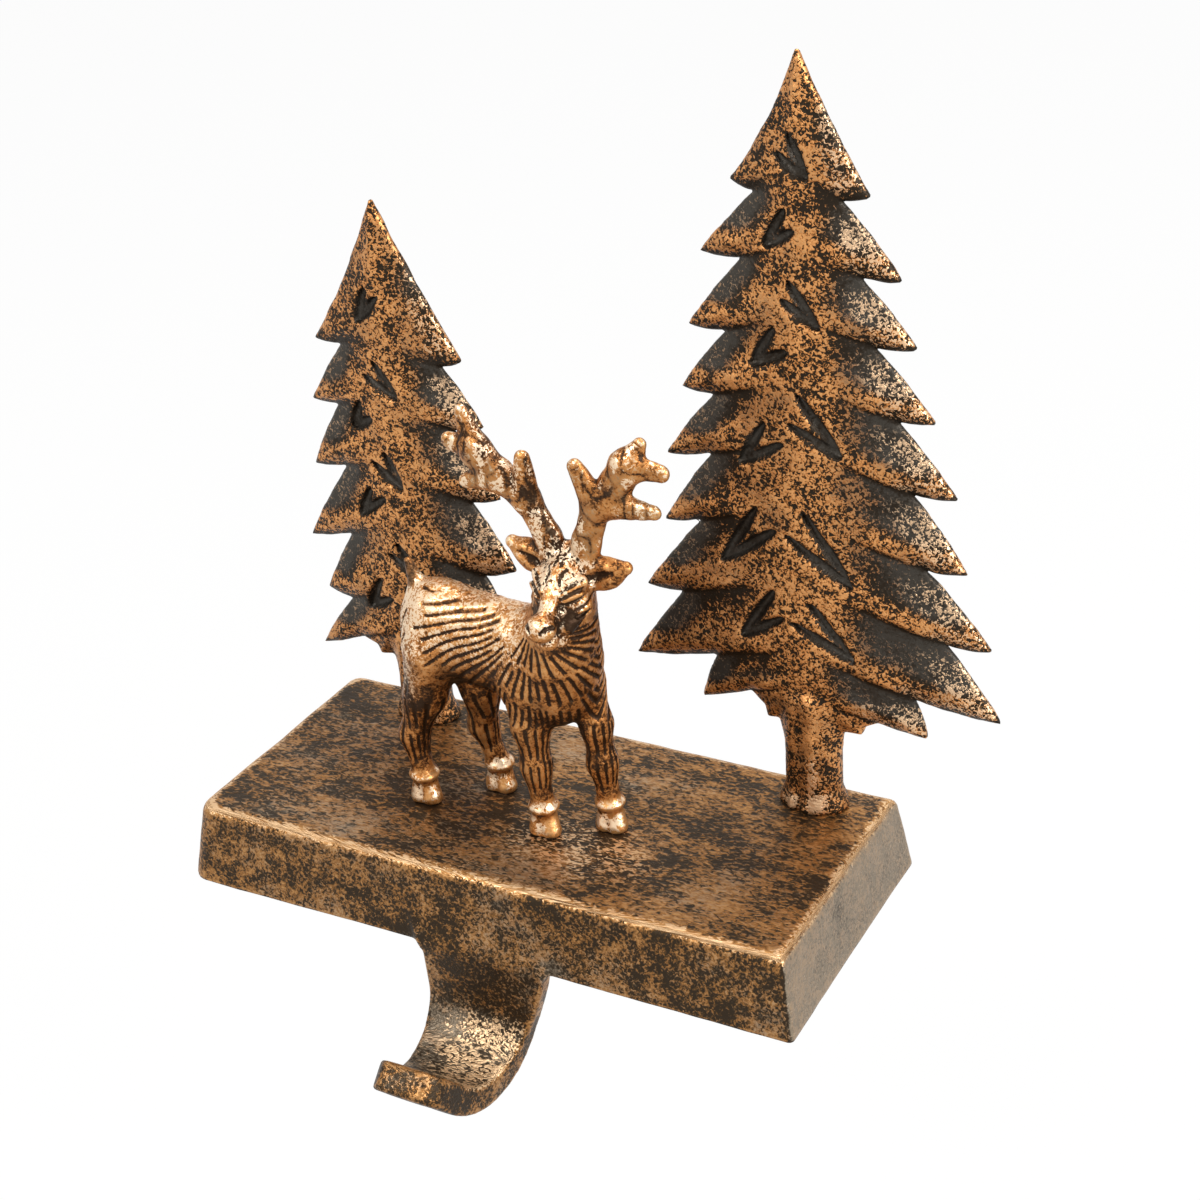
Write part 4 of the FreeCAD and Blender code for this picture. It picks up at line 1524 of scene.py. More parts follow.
        # Painted shade under the top plate inside the hollow; the next line is black patina in the
        # hollows
        black_and_shade = 0.9 * (pz < ceiling + 0.4) * (normal[:, 2] < -0.7) * outside
        black_and_shade += 0.45 * smoothstep(0.05, 0.22, -relief)
        # Painted shade in the front wall's corners beside the hook's root
        for x, z in ((-15.0, 2.4), (16.2, 3.0)):
            black_and_shade += 0.7 * front * soft_spot((px, x, 2.2), (pz, z, 1.8))
        # Painted shadow on the top round each of the reindeer's hooves
        for x, y in HOOF_PLACES:
            black_and_shade += 0.35 * facing_up * soft_spot((px, x, 4.6), (py, y, 4.6))
        grow = (self.top - pz) * self.draft / self.height
        corner = np.hypot(px - self.length / 2 - grow, py + self.depth / 2 + grow)
        seam = soft_spot((corner, 0.0, 0.8)) * outside
        rub -= 0.5 * seam
        black_and_shade += 0.8 * seam
        # Painted highlights along the top edge and in the hook's bend, and a painted reflection on
        # the top
        glint = 0.60 * rim * (normal[:, 1] < 0.5) + 0.50 * inner * smoothstep(-11, 1, px)
        glint += 0.35 * facing_up * soft_spot((px, 12.0, 16.0), (py, -12.0, 9.0))
        skin.paint = {
            "rub": rub,
            "black_and_shade": np.clip(black_and_shade, 0, 1),
            "glint": np.clip(glint, 0, 1),
            "grey_sheen_and_shade": np.clip(grey_sheen_and_shade, 0, 1),
            "drag": facing_up * 0.85,
        }


# Reindeer


@dataclass(frozen=True)
class Leg:
    """Where one leg stands and how it joins the body.

    Attributes:
        hoof: Where it stands.
        hip: Its upper end, in the body.
        middle_r: Radius half way up.
        hip_r: Radius at the upper end.
        knee_back: How far its knee stands back, towards the tail.
        sway: How far its middle is moved towards the head.
    """

    hoof: Spot
    hip: Point
    middle_r: float = 4.0
    hip_r: float = 6.0
    knee_back: float = 2.3
    sway: float = 0.4


@dataclass
class Reindeer:
    """Standing reindeer, its head turned to the front, chased all over with fur lines.

    Places are about the middle of its four hooves, on the plinth's top.

    Attributes:
        centre: Where that middle is, in the frame.
        poll: Top of the head, between the antlers.
        pitch_deg: How far the face points down.
        step: Size of the grid.
        legs: Its legs: near fore, far fore, near hind and far hind.
        antlers_from: Height above which everything is antler.
        groove_depth: How deep the fur lines are cut.
        bark_depth: How far the antlers' bark stands out.
        shoulder: Middle of the breast's curve, along and across the body.
        breast_r: Radius of that curve, round which the fur lines are measured.
        throat: Where the fan of lines starts: forwards from the shoulder, and up.
        line_pitch: Spacing of the lines on the rump and the neck.
        line_share: Share of the spacing that a groove takes there.
    """

    centre: Point = (-3.7, -4.1, 17.6)
    poll: Point = (17.6, -3.9, 61.0)
    pitch_deg: float = 33.0
    step: float = 0.325
    legs: tuple[Leg, ...] = (
        Leg((7.9, -4.3), (5.9, -3.6, 32.5), 3.4, 4.6, 0.5, 0.0),
        Leg((19.1, 1.8), (16.8, 1.4, 32.0), 2.8, 3.0, 0.5, 0.0),
        Leg((-19.4, -3.3), (-15.2, -1.8, 34.0)),
        Leg((-7.5, 5.7), (-9.0, 3.8, 34.0)),
    )
    antlers_from: float = 62.5
    groove_depth: float = 0.30
    bark_depth: float = 0.20
    shoulder: Spot = (8.5, -0.8)
    breast_r: float = 8.5
    throat: Spot = (3.0, 49.5)
    line_pitch: float = 1.6
    line_share: float = 0.42

    def __post_init__(self) -> None:
        """Work out the head's directions."""
        a = math.radians(self.pitch_deg)
        self.forward = vector(0, -math.cos(a), -math.sin(a))
        self.out = vector(0, -math.sin(a), math.cos(a))
        self.across = vector(1, 0, 0)
        self.head_axes = np.stack([self.across, self.forward, self.out])

    def build(self, material: bpy.types.Material) -> None:
        """Make the reindeer.

        Args:
            material: Its finish.
        """
        low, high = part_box("reindeer")
        margin = 3 * self.step
        centre = np.array(self.centre)
        top = np.array(high) / MM - centre + margin + vector(0, 1.6, 0)
        clay = Clay(np.array(low) / MM - centre - margin, top, self.step)
        self._torso(clay)
        for leg in self.legs:
            self._leg(clay, leg)
        self._head(clay)
        for side in Side:
            self._ear(clay, side)
            self._antler(clay, side)
        self._face(clay)
        clay.level()
        skin = clay.skin()
        self._chase(skin)
        skin.points = skin.points + centre
        skin.to_object("reindeer_figure", material, "reindeer")

    def _torso(self, clay: Clay) -> None:
        """Build up the barrel, rump, breast, neck and tail.

        Args:
            clay: The grid.
        """
        tilt = math.radians(4.5)
        long = vector(math.cos(tilt), -math.sin(tilt), 0)
        flat = vector(math.sin(tilt), math.cos(tilt), 0)
        axes = np.stack([long, flat, vector(0, 0, 1)])
        # Rump, barrel and breast
        clay.add(Egg(vector(-14.6, 1.2, 38.6), vector(8.4, 6.6, 9.4), axes), 3.0)
        clay.add(Egg(vector(-3.0, 0.2, 37.6), vector(16.0, 7.0, 9.6), axes), 4.0)
        clay.add(Egg(vector(9.4, -0.9, 35.4), vector(10.3, 7.6, 12.2), axes), 4.0)
        # Neck, throat and tail
        clay.add(Rod(vector(12.8, -1.2, 39.0), vector(15.9, -2.4, 57.0), 7.6, 5.2), 3.0)
        clay.add(Rod(vector(14.4, -5.0, 41.0), vector(16.8, -5.4, 52.0), 4.4, 4.0), 3.0)
        clay.add(Rod(vector(-19.0, 1.6, 45.0), vector(-21.0, 1.8, 50.6), 1.9, 0.8), 2.0)

    @staticmethod
    def _leg(clay: Clay, leg: Leg) -> None:
        """Build up one leg from its cloven hoof to the body.

        Args:
            clay: The grid.
            leg: Which leg.
        """
        x, y = leg.hoof
        hip = vector(*leg.hip)
        knee = vector(x + (hip[0] - x) * 0.2 - leg.knee_back, y + (hip[1] - y) * 0.2, 14.6)
        middle = knee * 0.5 + hip * 0.5 + vector(leg.sway, 0, 0)
        fetlock = vector(x, y, 5.6)
        shin = knee * 0.75 + fetlock * 0.25
        for toe in (-1, 1):
            heel = vector(x + toe * 0.8, y, 3.4)
            clay.add(Rod(vector(x + toe * 1.15 + 0.3, y - 0.55, 1.0), heel, 2.15, 1.9), 0.5)
        clay.add(Egg(vector(x, y, 5.9), vector(3.05, 3.0, 1.25)), 0.8)
        clay.add(Rod(fetlock, shin, 2.3, 2.25), 1.0)
        clay.add(Rod(shin, knee, 2.25, 2.75), 1.2)
        clay.add(Rod(knee, middle, 2.7, leg.middle_r), 2.0)
        clay.add(Rod(middle, hip, leg.middle_r, leg.hip_r), 2.4)
        # The cleft between its toes
        clay.cut(Rod(vector(x, y - 6.0, -0.5), vector(x, y - 2.2, 4.2), 0.42, 0.42), 0.3)

    def _on_head(self, along: float, across: float, up: float) -> Array:
        """A place on the head.

        Args:
            along: From the poll towards the nose.
            across: To the viewer's right.
            up: Out of the forehead.

        Returns:
            The place.
        """
        return np.array(self.poll) + self.forward * along + self.across * across + self.out * up

    def _head(self, clay: Clay) -> None:
        """Build up the skull, cheeks, muzzle, nose and jaw.

        Args:
            clay: The grid.
        """
        on = self._on_head
        axes = self.head_axes
        shapes = [
            (Egg(on(2.2, 0, -1.6), vector(4.8, 5.4, 4.7), axes), 2.5),
            (Egg(on(5.4, 0, -2.0), vector(5.0, 5.2, 4.5), axes), 2.0),
            (Rod(on(6.5, 0, -1.8), on(12.6, 0, -0.9), 3.4, 1.9), 1.4),
            (Rod(on(-1.6, 0, 1.0), on(4.0, 0, 0.8), 2.2, 2.2), 1.4),
            (Egg(on(14.0, 0, 0.2), vector(2.9, 2.6, 2.6), axes), 0.8),
            (Rod(on(6.0, 0, -4.6), on(13.0, 0, -4.2), 3.2, 1.8), 1.4),
            (Egg(on(14.4, 0, -4.0), vector(2.0, 1.8, 1.7), axes), 0.8),
            (Rod(on(3.5, 0, 1.2), on(11.5, 0, 0.8), 1.7, 1.1), 1.2),
        ]
        for side in Side:
            s = side.value
            shapes.append((Rod(on(7.4, s * 2.0, 1.6), on(3.8, s * 4.6, 1.0), 0.8, 1.1), 0.9))
            shapes.append((Rod(on(6.6, s * 4.0, -3.4), on(11.0, s * 2.6, -3.8), 2.0, 1.4), 1.4))
        for shape, blend in shapes:
            clay.add(shape, blend)

    def _face(self, clay: Clay) -> None:
        """Hollow the face beside the muzzle, set the eyes and cut the creases, nostrils and mouth.

        Args:
            clay: The grid.
        """
        on = self._on_head
        for side in Side:
            s = side.value
            clay.cut(Rod(on(9.8, s * 2.7, 0.6), on(12.4, s * 2.9, 0.0), 1.0, 0.6), 0.7)
            clay.add(Rod(on(8.3, s * 2.6, 1.2), on(5.9, s * 5.0, 0.5), 0.62, 0.55), 0.25)
        for crease in self._creases():
            clay.cut(crease, 0.25)

    def _creases(self) -> list[Rod]:
        """Work out the fine cuts in the face, for both its sides.

        Returns:
            A rod for each half of each cut.
        """
        # Each crease: its start, middle and end on the head, and its radius in the middle
        creases = (
            ((7.4, 2.1, 2.3), (5.6, 3.4, 2.3), (3.6, 5.0, 1.8), 0.30),
            ((8.3, 2.3, 1.7), (7.0, 4.0, 1.9), (5.0, 5.3, 0.9), 0.36),
            ((9.0, 2.6, 0.9), (8.2, 4.2, 0.2), (6.0, 5.5, 0.0), 0.38),
            ((9.7, 3.2, -0.4), (8.9, 4.8, -1.4), (6.8, 5.7, -1.6), 0.36),
            ((10.6, 3.6, -1.9), (8.9, 4.8, -2.9), (6.4, 5.6, -3.2), 0.40),
            ((10.8, 3.6, -3.3), (8.6, 4.6, -4.3), (6.2, 5.3, -4.7), 0.38),
            ((10.6, 3.4, -4.7), (8.4, 4.2, -5.6), (6.2, 4.9, -6.1), 0.38),
            ((13.4, 2.9, 0.7), (14.8, 2.1, 2.1), (15.6, 1.1, 1.6), 0.54),
            ((16.4, 0.3, -2.3), (14.5, 2.5, -2.5), (11.4, 3.7, -2.6), 0.50),
            ((-1.0, 1.0, 3.5), (0.9, 0.4, 3.7), (2.8, 0.7, 3.5), 0.34),
            ((0.2, 2.9, 2.8), (1.6, 3.2, 2.9), (3.4, 3.0, 2.6), 0.36),
            ((3.0, 1.9, 3.1), (4.4, 1.3, 3.2), (6.2, 1.5, 2.8), 0.34),
        )
        rods = []
        for side in Side:
            for *places, r in creases:
                first, middle, last = (self._on_head(a, side.value * c, u) for a, c, u in places)
                rods.append(Rod(first, middle, r * 0.5, r))
                rods.append(Rod(middle, last, r, r * 0.5))
        return rods

    def _ear(self, clay: Clay, side: Side) -> None:
        """Build up one leaf-shaped ear and hollow its front.

        Args:
            clay: The grid.
            side: Which ear.
        """
        s = side.value
        right = side is Side.RIGHT
        root = np.array(self.poll) + vector(s * 4.0, -0.2, -2.2 if right else -1.6)
        tip = np.array(self.poll) + (vector(11.3, 0.5, 0.6) if right else vector(-11.8, 0.5, 1.6))
        along = (tip - root) / np.linalg.norm(tip - root)
        face = vector(0, -1, 0.15)
        face = face / np.linalg.norm(face)
        axes = np.stack([along, np.cross(along, face), face])
        middle = (root + tip) / 2
        clay.add(Egg(middle - along * 0.8, vector(4.4, 3.2, 1.9), axes), 1.4)
        clay.add(Rod(middle + along * 1.0, tip, 2.0, 1.25, face, 1.1), 1.0)
        clay.add(Rod(root + vector(0, 0.2, 1.6), root + vector(s * 2.2, 0.2, 1.4), 1.7, 1.2), 1.2)
        hollow = (middle + face * 2.0 - along * 2.2, middle + face * 1.9 + along * 1.6)
        clay.cut(Rod(*hollow, 1.2, 0.6), 0.5)

    def _antler(self, clay: Clay, side: Side) -> None:
        """Build up one antler: beam, inner tine, palm and outer tines.

        Args:
            clay: The grid.
            side: Which antler.
        """
        points = ANTLERS[side]

        def spot(name: str) -> Array:
            """Find one of the antler's points.

            Args:
                name: Which point.

            Returns:
                Its place.
            """
            x, rise = points[name]
            return np.array(self.poll) + vector(x, ANTLER_LEAN.get(name, 0.0), rise)

        beams = (
            ("root", "brow", 3.1, 2.7),
            ("brow", "fork", 2.7, 2.7),
            ("fork", "inner_tip", 3.0, 1.6),
            ("fork", "hand", 2.8, 3.0),
            ("hand", "palm", 3.0, 3.3),
            ("palm", "top_tip", 3.3, 1.35),
            ("palm", "outer_tip", 2.6, 1.7),
            ("low_fork", "low_tip", 3.3, 1.4),
        )
        for start, end, start_r, end_r in beams:
            clay.add(Rod(spot(start), spot(end), start_r, end_r, vector(0, 1, 0), 1.4), 1.0)

    def _chase(self, skin: Skin) -> None:
        """Cut the fur lines into the skin and paint its finish.

        Args:
            skin: The mesh.
        """
        p = skin.points
        px, py, pz = p.T
        normal = skin.normals()
        fur = np.maximum.reduce([self._fan_lines(p), self._leg_lines(p), self._neck_lines(p)])
        fur = fur * smoothstep(0.96, 0.84, normal[:, 2])
        antler = smoothstep(self.antlers_from, self.antlers_from + 3.0, pz)
        bark = np.abs(lumps(p * vector(1.0, 1.0, 0.45), 2.1, 33)) * antler
        rough = 0.08 * lumps(p, 2.6, 31) + 0.06 * lumps(p, 1.0, 32)
        bark_rise = self.bark_depth * (bark - 0.4 * antler)
        skin.push(rough * (1 - 0.6 * antler) + bark_rise - self.groove_depth * fur)
        relief = skin.relief(8)

        # Which part of the animal each place is on
        crease = np.minimum.reduce([rod.distance(px, py, pz) for rod in self._creases()])
        crease = smoothstep(0.26, -0.02, crease)
        from_middle = np.abs(px - self.poll[0])
        down = (p - np.array(self.poll)) @ self.forward
        # Painted shade in the hollow of each cheek beside the muzzle
        cheek_shade = soft_spot((from_middle, 4.2, 1.8), (down, 10.8, 2.2)) * (py < self.poll[1])
        head = smoothstep(11.5, 8.5, np.linalg.norm(p - self._on_head(6.8, 0, -1.0), axis=1))
        head = head * smoothstep(6.8, 5.2, from_middle)
        hoof = smoothstep(8.6, 7.2, pz)
        tail = smoothstep(-18.5, -19.5, px) * smoothstep(45.5, 47.0, pz)
        barrel = smoothstep(13.0, 2.0, px) * smoothstep(31, 42, pz) * (1 - antler) * (1 - tail)
        rump = smoothstep(-13, -20, px) * smoothstep(20, 30, pz)

        # Which way it faces, for painted light on what faces up and to the front, and random
        # patches that break up the painted highlights
        facing = smoothstep(-0.1, 0.85, 0.85 * normal[:, 2] - 0.50 * normal[:, 1])
        highlight_patches = 0.30 + 0.70 * smoothstep(-0.45, 0.15, lumps(p, 2.0, 37))
        # Painted shade on the far antler's side that faces away from the light
        far_antler_shade = antler * smoothstep(0.0, 0.7, normal[:, 0]) * (px < self.poll[0])
        # Painted light: the upper flank lighter where it faces up and to the front. Painted shade:
        # the cheeks, the far antler, under the belly, the backs of the lower legs, and darker
        # towards the hooves
        rub = 0.45 + np.clip(relief * 1.5, -0.40, 0.25) - 0.06 * fur + 0.10 * head
        rub += 0.30 * facing * barrel - 0.20 * tail + 0.13 * antler - 0.25 * head * cheek_shade
        rub -= 0.28 * far_antler_shade + 0.09 * smoothstep(32, 24, pz) - 0.28 * hoof
        rub -= 0.35 * smoothstep(0.35, 0.85, -normal[:, 2]) * (pz < 40)
        rub -= 0.25 * smoothstep(26, 16, pz) * smoothstep(0.1, 0.7, normal[:, 1])

        # Black patina in the cuts and hollows, less of it on the lit upper flank and hooves, and
        # painted shade in the cheeks
        hollow = smoothstep(0.05, 0.24, -relief) * (1 - 0.6 * facing * np.maximum(barrel, hoof))
        veins = antler * smoothstep(0.10, 0.02, bark) * smoothstep(0.2, 0.6, np.abs(normal[:, 1]))
        shade = antler * smoothstep(-0.15, -0.50, lumps(p, 3.0, 39))
        black_and_shade = 0.27 * fur + 0.50 * hollow + 0.85 * crease + 0.5 * head * cheek_shade
        black_and_shade = np.clip(black_and_shade + 0.35 * veins + 0.10 * shade, 0, 1)

        # Painted highlights on what faces up and to the front: face, upper flank, hooves, rump and
        # antlers
        glint = 0.70 * head * facing * np.maximum(1 - 1.5 * cheek_shade, 0) * highlight_patches
        glint += 0.46 * facing * barrel + hoof * (1.15 * facing * highlight_patches - 0.25) + 0.25 * rump
        glint += 0.30 * antler * smoothstep(-0.02, 0.12, relief) * facing
        glint += 0.45 * antler * smoothstep(0.32, 0.55, bark) * smoothstep(0.1, 0.6, -normal[:, 1])
        skin.paint = {
            "rub": rub,
            "black_and_shade": black_and_shade,
            "glint": np.clip(glint, 0, 1) * (1 - 0.9 * black_and_shade) * (1 - fur) * (1 - tail),
            "grey_sheen_and_shade": np.clip(0.35 * rump + 0.2 * antler, 0, 1),
            "drag": np.zeros(len(p)),
        }

    @staticmethod
    def _strokes(
        phase: Array, along: Array, start: float, stop: float, share: float | Array
    ) -> Array:
        """Grooves side by side, each with ends of its own.

        Args:
            phase: Which line a place is on, whole numbers being their middles.
            along: Distance along the lines in millimetres.
            start: Where the lines start.
            stop: Where they end.
            share: Share of the spacing that a groove takes.

        Returns:
            One in a groove's middle, nought between grooves.
        """
        line = np.round(phase)
        spread = 0.22 * (stop - start)
        # What is left of a large sine after its whole part passes for chance, the same at each run
        chance, other = (
            np.modf(np.abs(np.sin(line * turn + end) * large))[0]
            for turn, end, large in ((12.9898, start, 43758.5453), (78.233, stop, 24634.6345))
        )
        first, last = start + spread * chance, stop - spread * other
        within = smoothstep(0.0, 0.9, along - first) * smoothstep(0.0, 0.9, last - along)
        off = np.abs(phase - line) * 2
        return (1 - smoothstep(share * 0.35, share, off)) * within

    def _unrolled(self, p: Array) -> Array:
        """Distance round the body from the shoulder, round the breast or back along the flank.

        Args:
            p: Places.

        Returns:
            Distances, less than nought along the flank.
        """
        dx = p[:, 0] - self.shoulder[0]
        dy = np.abs(p[:, 1] - self.shoulder[1])
        angle = np.arctan2(dy, np.maximum(dx, TINY))
        return np.where(dx < 0, dx, self.breast_r * (math.pi / 2 - angle))

    def _fan_lines(self, p: Array) -> Array:
        """Lines that fan out from the throat over the breast and the flank.

        Args:
            p: Places.

        Returns:
            Depth of the grooves, from nought to one.
        """
        du = self._unrolled(p) - self.throat[0]
        dz = p[:, 2] - self.throat[1]
        r = np.hypot(du, dz)
        angle = np.degrees(np.arctan2(-dz, -du)) + 1.5 * lumps(p, 7.0, 41)
        body = smoothstep(24.0, 26.5, p[:, 2]) * (1 - smoothstep(50.5, 52.0, p[:, 2]))
        body = body * smoothstep(-21.5, -19.0, p[:, 0])
        flank = smoothstep(58.0, 48.0, angle)
        long_lines = self._strokes(angle / 4.4, r, 9.5, 31.0, 0.80 / np.clip(r * 0.077, 0.6, 3.0))
        total = long_lines * flank
        for start, stop, pitch in ((4.5, 12.0, 9.5), (10.5, 19.0, 6.0), (17.5, 30.0, 3.9)):
            share = 0.74 / np.clip(r * math.radians(pitch), 0.6, 3.0)
            lines = self._strokes(angle / pitch, r, start, stop, share)
            total = np.maximum(total, (1 - flank) * lines)
        return total * body

    def _leg_lines(self, p: Array) -> Array:
        """Upright lines round the legs and over the rump.

        Args:
            p: Places.

        Returns:
            Depth of the grooves, from nought to one.
        """
        total = np.zeros(len(p))
        for leg in self.legs:
            dx, dy = p[:, 0] - leg.hoof[0], p[:, 1] - leg.hoof[1]
            near = smoothstep(7.5, 5.5, np.hypot(dx * 0.8, dy))
            phase = np.arctan2(dy, dx) * 11 / (2 * math.pi)
            for start, stop in ((8.5, 17.5), (16.0, 25.5)):
                lines = self._strokes(phase, p[:, 2], start, stop, self.line_share)
                total = np.maximum(total, near * lines)
        rump = smoothstep(-18.5, -20.0, p[:, 0])
        for start, stop in ((25.0, 35.0), (33.5, 45.0)):
            phase = p[:, 1] / self.line_pitch
            lines = self._strokes(phase, p[:, 2], start, stop, self.line_share)
            total = np.maximum(total, rump * lines)
        return total

    def _neck_lines(self, p: Array) -> Array:
        """Slanting lines up the neck.

        Args:
            p: Places.

        Returns:
            Depth of the grooves, from nought to one.
        """
        u = self._unrolled(p)
        phase = (p[:, 2] - 0.5 * np.abs(u)) / self.line_pitch
        window = smoothstep(50.5, 51.5, p[:, 2]) * (1 - smoothstep(56.5, 58.0, p[:, 2]))
        window = window * (p[:, 1] > -10.0)
        total = np.zeros(len(p))
        for start, stop in ((-9.0, -1.0), (-2.0, 5.0), (4.0, 12.0)):
            total = np.maximum(total, self._strokes(phase, u, start, stop, self.line_share))
        return total * window


# Antler points: across from the head's middle plane, and above the poll
ANTLERS: dict[Side, dict[str, Spot]] = {
    Side.RIGHT: {
        "root": (2.7, -0.2),
        "brow": (3.8, 4.6),
        "fork": (6.4, 12.4),
        "inner_tip": (3.4, 20.2),
        "hand": (10.6, 17.6),
        "palm": (13.0, 21.4),
        "top_tip": (15.3, 25.6),
        "outer_tip": (19.2, 20.8),
        "low_fork": (7.6, 13.4),
        "low_tip": (18.2, 13.6),
    },
    Side.LEFT: {
        "root": (-2.7, -0.2),
        "brow": (-4.0, 4.6),
        "fork": (-7.8, 11.4),
        "inner_tip": (-7.2, 20.0),
        "hand": (-12.9, 14.8),
        "palm": (-17.2, 19.0),
        "top_tip": (-20.3, 26.2),
        "outer_tip": (-23.0, 20.2),
        "low_fork": (-13.2, 15.0),
        "low_tip": (-19.6, 13.2),
    },
}

# How far some antler points stand back from the head's plane
ANTLER_LEAN = {"inner_tip": -1.2, "top_tip": 0.8, "outer_tip": 0.4, "low_tip": -0.8}


# Fixings and sheet


@dataclass(frozen=True)
class Underside:
    """What is under the plinth: the four screws and the non-slip sheet, whose CAD shapes stay."""

    def build(self) -> None:
        """Give each its finish."""
        # Zinc-dipped steel: dull grey with a faint grain
        steel = PlainFinish(
            "zinc_dipped_steel",
            dark="#6d6c69",
            light="#8f8e8a",
            grain_mm=0.25,
            height_mm=0.01,
            roughness=0.38,
            metallic=1.0,
        ).build()
        # Foamed rubber: near-black and matt, with a fine open grain
        rubber = PlainFinish(
            "foamed_rubber",
            dark="#0d0d0d",
            light="#1b1b1a",
            grain_mm=0.4,
            height_mm=0.05,
            roughness=0.9,
            metallic=0.0,
        ).build()
        finishes = {node: steel for node in SCREWS}
        finishes["non_slip_sheet"] = rubber
        for node, finish in finishes.items():
            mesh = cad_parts[node].data
            mesh.materials.clear()
            mesh.materials.append(finish)
            log.info("%s: %s", node, finish.name)


# Studio


def seen_directly(tree: Tree) -> bpy.types.Node:
    """One for rays that show the background, straight, in a reflection or through glass.

    Args:
        tree: The tree it goes in.

    Returns:
        The node that gives it, nought for rays that light the object.
    """
    path = add_node(tree, "LightPath")
    seen = path.outputs["Is Camera Ray"]
    for ray in ("Is Glossy Ray", "Is Transmission Ray"):
        seen = add_node(tree, "Math", (seen, path.outputs[ray]), operation="MAXIMUM")
    return seen


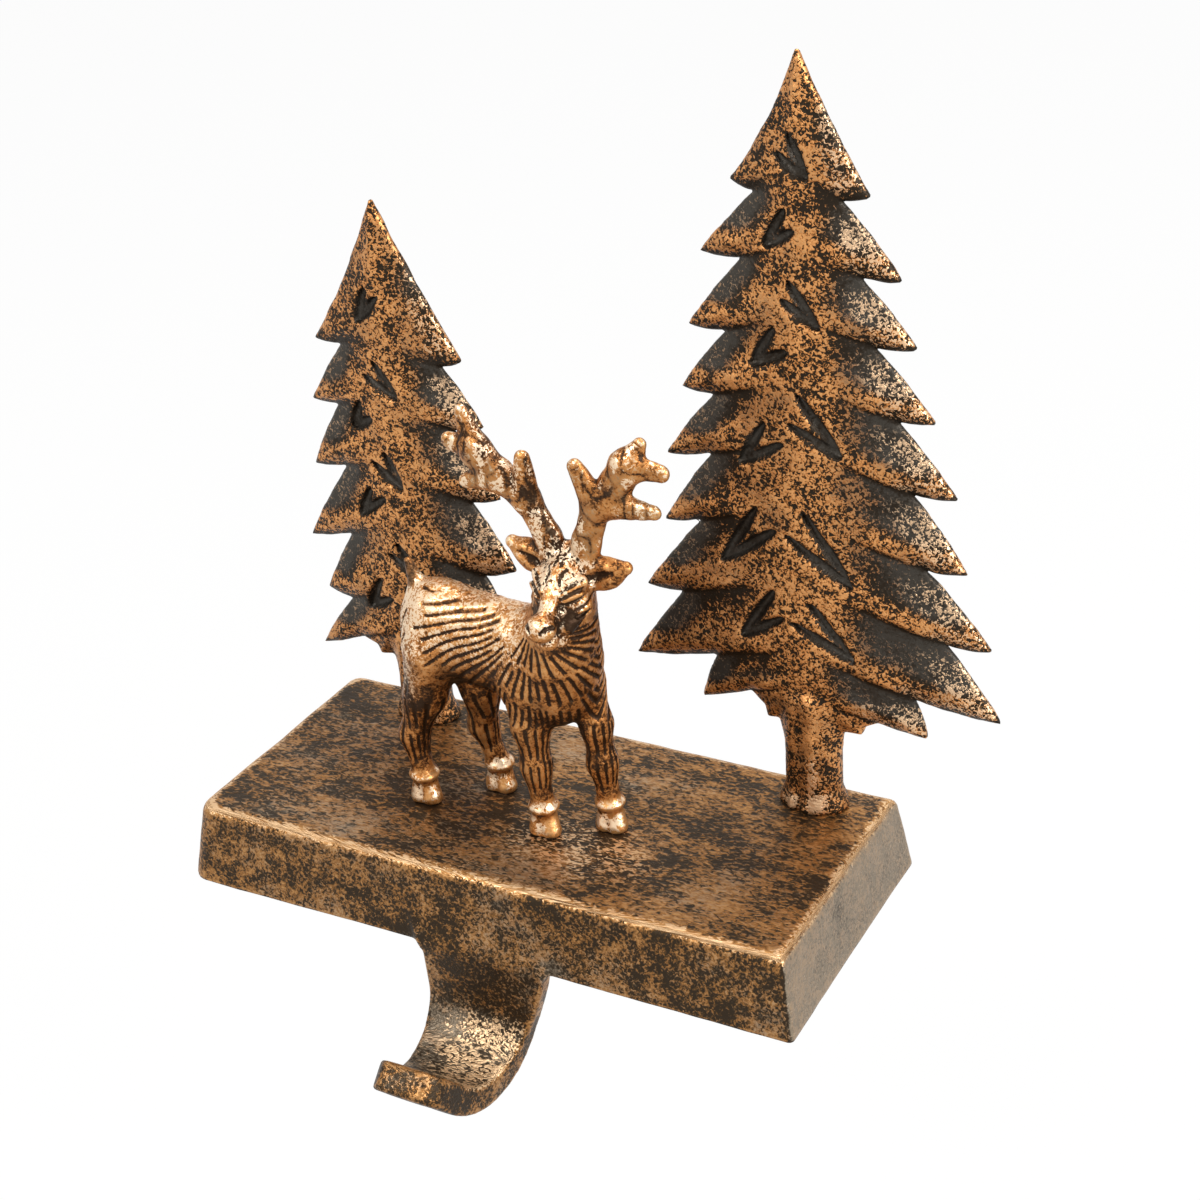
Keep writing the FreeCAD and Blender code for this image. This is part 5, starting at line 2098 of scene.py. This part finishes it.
@dataclass(frozen=True)
class Studio:
    """White floor, soft lamps and the camera.

    Attributes:
        lens_mm: The camera's focal length.
        sensor_mm: Width of its sensor.
        camera_mm: Where it stands.
        yaw_deg: How far it is turned to the left of straight ahead.
        pitch_deg: How far it looks down.
        roll_deg: How far it is rolled.
        floor_drop: How far the floor lies below the hook, in metres.
        floor_half: Half the floor's side, in metres.
        aim: What the lamps point at, in metres.
    """

    lens_mm: float = 73.546
    sensor_mm: float = 36.0
    camera_mm: Point = (208.023, -340.375, 289.766)
    yaw_deg: float = 29.5441
    pitch_deg: float = 29.6993
    roll_deg: float = -4.1891
    floor_drop: float = 0.12
    floor_half: float = 4.0
    aim: Point = (0.0, 0.0, 0.06)

    def build(self) -> None:
        """Set the camera, floor, lamps and world."""
        self._camera()
        self._floor()
        self._world()
        # Each lamp's place and side in metres, and its power in watts
        for name, place, size, power in (
            ("key_lamp", (-0.35, -0.70, 0.80), 0.40, 5.5),
            ("side_lamp", (0.90, -0.20, 0.50), 0.45, 8.0),
            ("top_lamp", (0.10, 0.20, 1.00), 0.50, 6.0),
        ):
            self._lamp(name, place, size, power)
        bpy.context.scene.view_settings.view_transform = "Standard"

    def _camera(self) -> None:
        """Place the camera by its measured turn, pitch and roll."""
        yaw, pitch, roll = (math.radians(a) for a in (self.yaw_deg, self.pitch_deg, self.roll_deg))
        level = math.cos(pitch)
        forward = Vector((-math.sin(yaw) * level, math.cos(yaw) * level, -math.sin(pitch)))
        right = Vector((math.cos(yaw), math.sin(yaw), 0))
        up = right.cross(forward)
        rolled_right = right * math.cos(roll) + up * math.sin(roll)
        rolled_up = up * math.cos(roll) - right * math.sin(roll)
        matrix = Matrix((rolled_right, rolled_up, -forward)).transposed().to_4x4()
        matrix.translation = Vector(self.camera_mm) * MM
        data = bpy.data.cameras.new("camera")
        data.lens = self.lens_mm
        data.sensor_width = self.sensor_mm
        data.sensor_fit = "HORIZONTAL"
        data.clip_start = 0.01
        camera = bpy.data.objects.new("camera", data)
        camera.matrix_world = matrix
        bpy.context.scene.collection.objects.link(camera)
        bpy.context.scene.camera = camera

    def _floor(self) -> None:
        """Lay a white floor that keeps a soft shadow."""
        z = CAD_BOX[0][2] - self.floor_drop
        mesh = bpy.data.meshes.new("floor")
        half = self.floor_half
        corners = [(-half, -half, z), (half, -half, z), (half, half, z), (-half, half, z)]
        mesh.from_pydata(corners, [], [(0, 1, 2, 3)])
        # Matt white paper: pale and even, with nothing in it but the object's soft shadow
        material = bpy.data.materials.new("white_paper")
        tree = empty_tree(material)
        share = add_node(tree, "Math", (seen_directly(tree), 0.94), operation="MULTIPLY")
        paper = add_node(tree, "BsdfDiffuse", {"Color": linear("#f4f3f1")})
        glow = add_node(tree, "Emission", {"Color": linear("#ffffff"), "Strength": 1.0})
        add_node(tree, "OutputMaterial", (add_node(tree, "MixShader", (share, paper, glow)),))
        mesh.materials.append(material)
        floor = bpy.data.objects.new("floor", mesh)
        bpy.context.scene.collection.objects.link(floor)

    @staticmethod
    def _world() -> None:
        """Surround everything with an even pale light, seen as white behind the object."""
        world = bpy.data.worlds.new("studio")
        tree = empty_tree(world)
        direct = seen_directly(tree)
        strength = add_node(tree, "Math", (direct, 0.65, 0.35), operation="MULTIPLY_ADD")
        sky = add_node(tree, "Background", {"Color": linear("#ffffff"), "Strength": strength})
        add_node(tree, "OutputWorld", (sky,))
        bpy.context.scene.world = world

    def _lamp(self, name: str, place: Point, size: float, power: float) -> None:
        """Hang a square soft lamp that points at the figures.

        Args:
            name: The lamp's name.
            place: Where it hangs, in metres.
            size: Its side, in metres.
            power: Its power in watts.
        """
        data = bpy.data.lights.new(name, "AREA")
        data.size = size
        data.energy = power
        lamp = bpy.data.objects.new(name, data)
        lamp.location = place
        way = Vector(self.aim) - Vector(place)
        lamp.rotation_euler = way.to_track_quat("-Z", "Y").to_euler()
        bpy.context.scene.collection.objects.link(lamp)


def main() -> None:
    """Build the finishes, the castings, the fixings and the studio, in that order."""
    logging.basicConfig(level=logging.INFO, format="%(name)s: %(message)s")
    # On the trees the copper is speckled all over with black, and the right-hand branches carry
    # painted shade
    figure_copper = AntiqueCopper("antique_copper_on_figures").build()
    # On the reindeer it is rubbed on almost whole, with pale painted highlights, so its cuts read
    # as dark lines
    deer_copper = AntiqueCopper(
        "antique_copper_on_reindeer",
        bright="#dfa769",
        copper="#b0733a",
        umber="#683f1b",
        ground="#311e0d",
        grey_sheen_and_shade="#5e4a34",
        glint="#f3d9b8",
        fleck=0.95,
        pit=0.0,
        blotch=0.9,
        cloud=0.5,
        grain_mm=0.07,
    ).build()
    # On the plinth it is thin and wiped along the mantel, so the black shows through in streaks;
    # its pale grey is painted sheen
    plinth_copper = AntiqueCopper(
        "antique_copper_on_plinth",
        bright="#b4844e",
        copper="#865b2f",
        umber="#573e20",
        ground="#322618",
        grey_sheen_and_shade="#978874",
        glint="#dcb88e",
        pit=0.2,
        fleck=1.5,
        blotch=1.2,
        grey_cover=0.75,
        cloud_mm=12.0,
    ).build()
    Plinth().build(plinth_copper)
    tall_tree().build(figure_copper)
    short_tree().build(figure_copper)
    Reindeer().build(deer_copper)
    Underside().build()
    Studio().build()


if __name__ == "__main__":
    main()
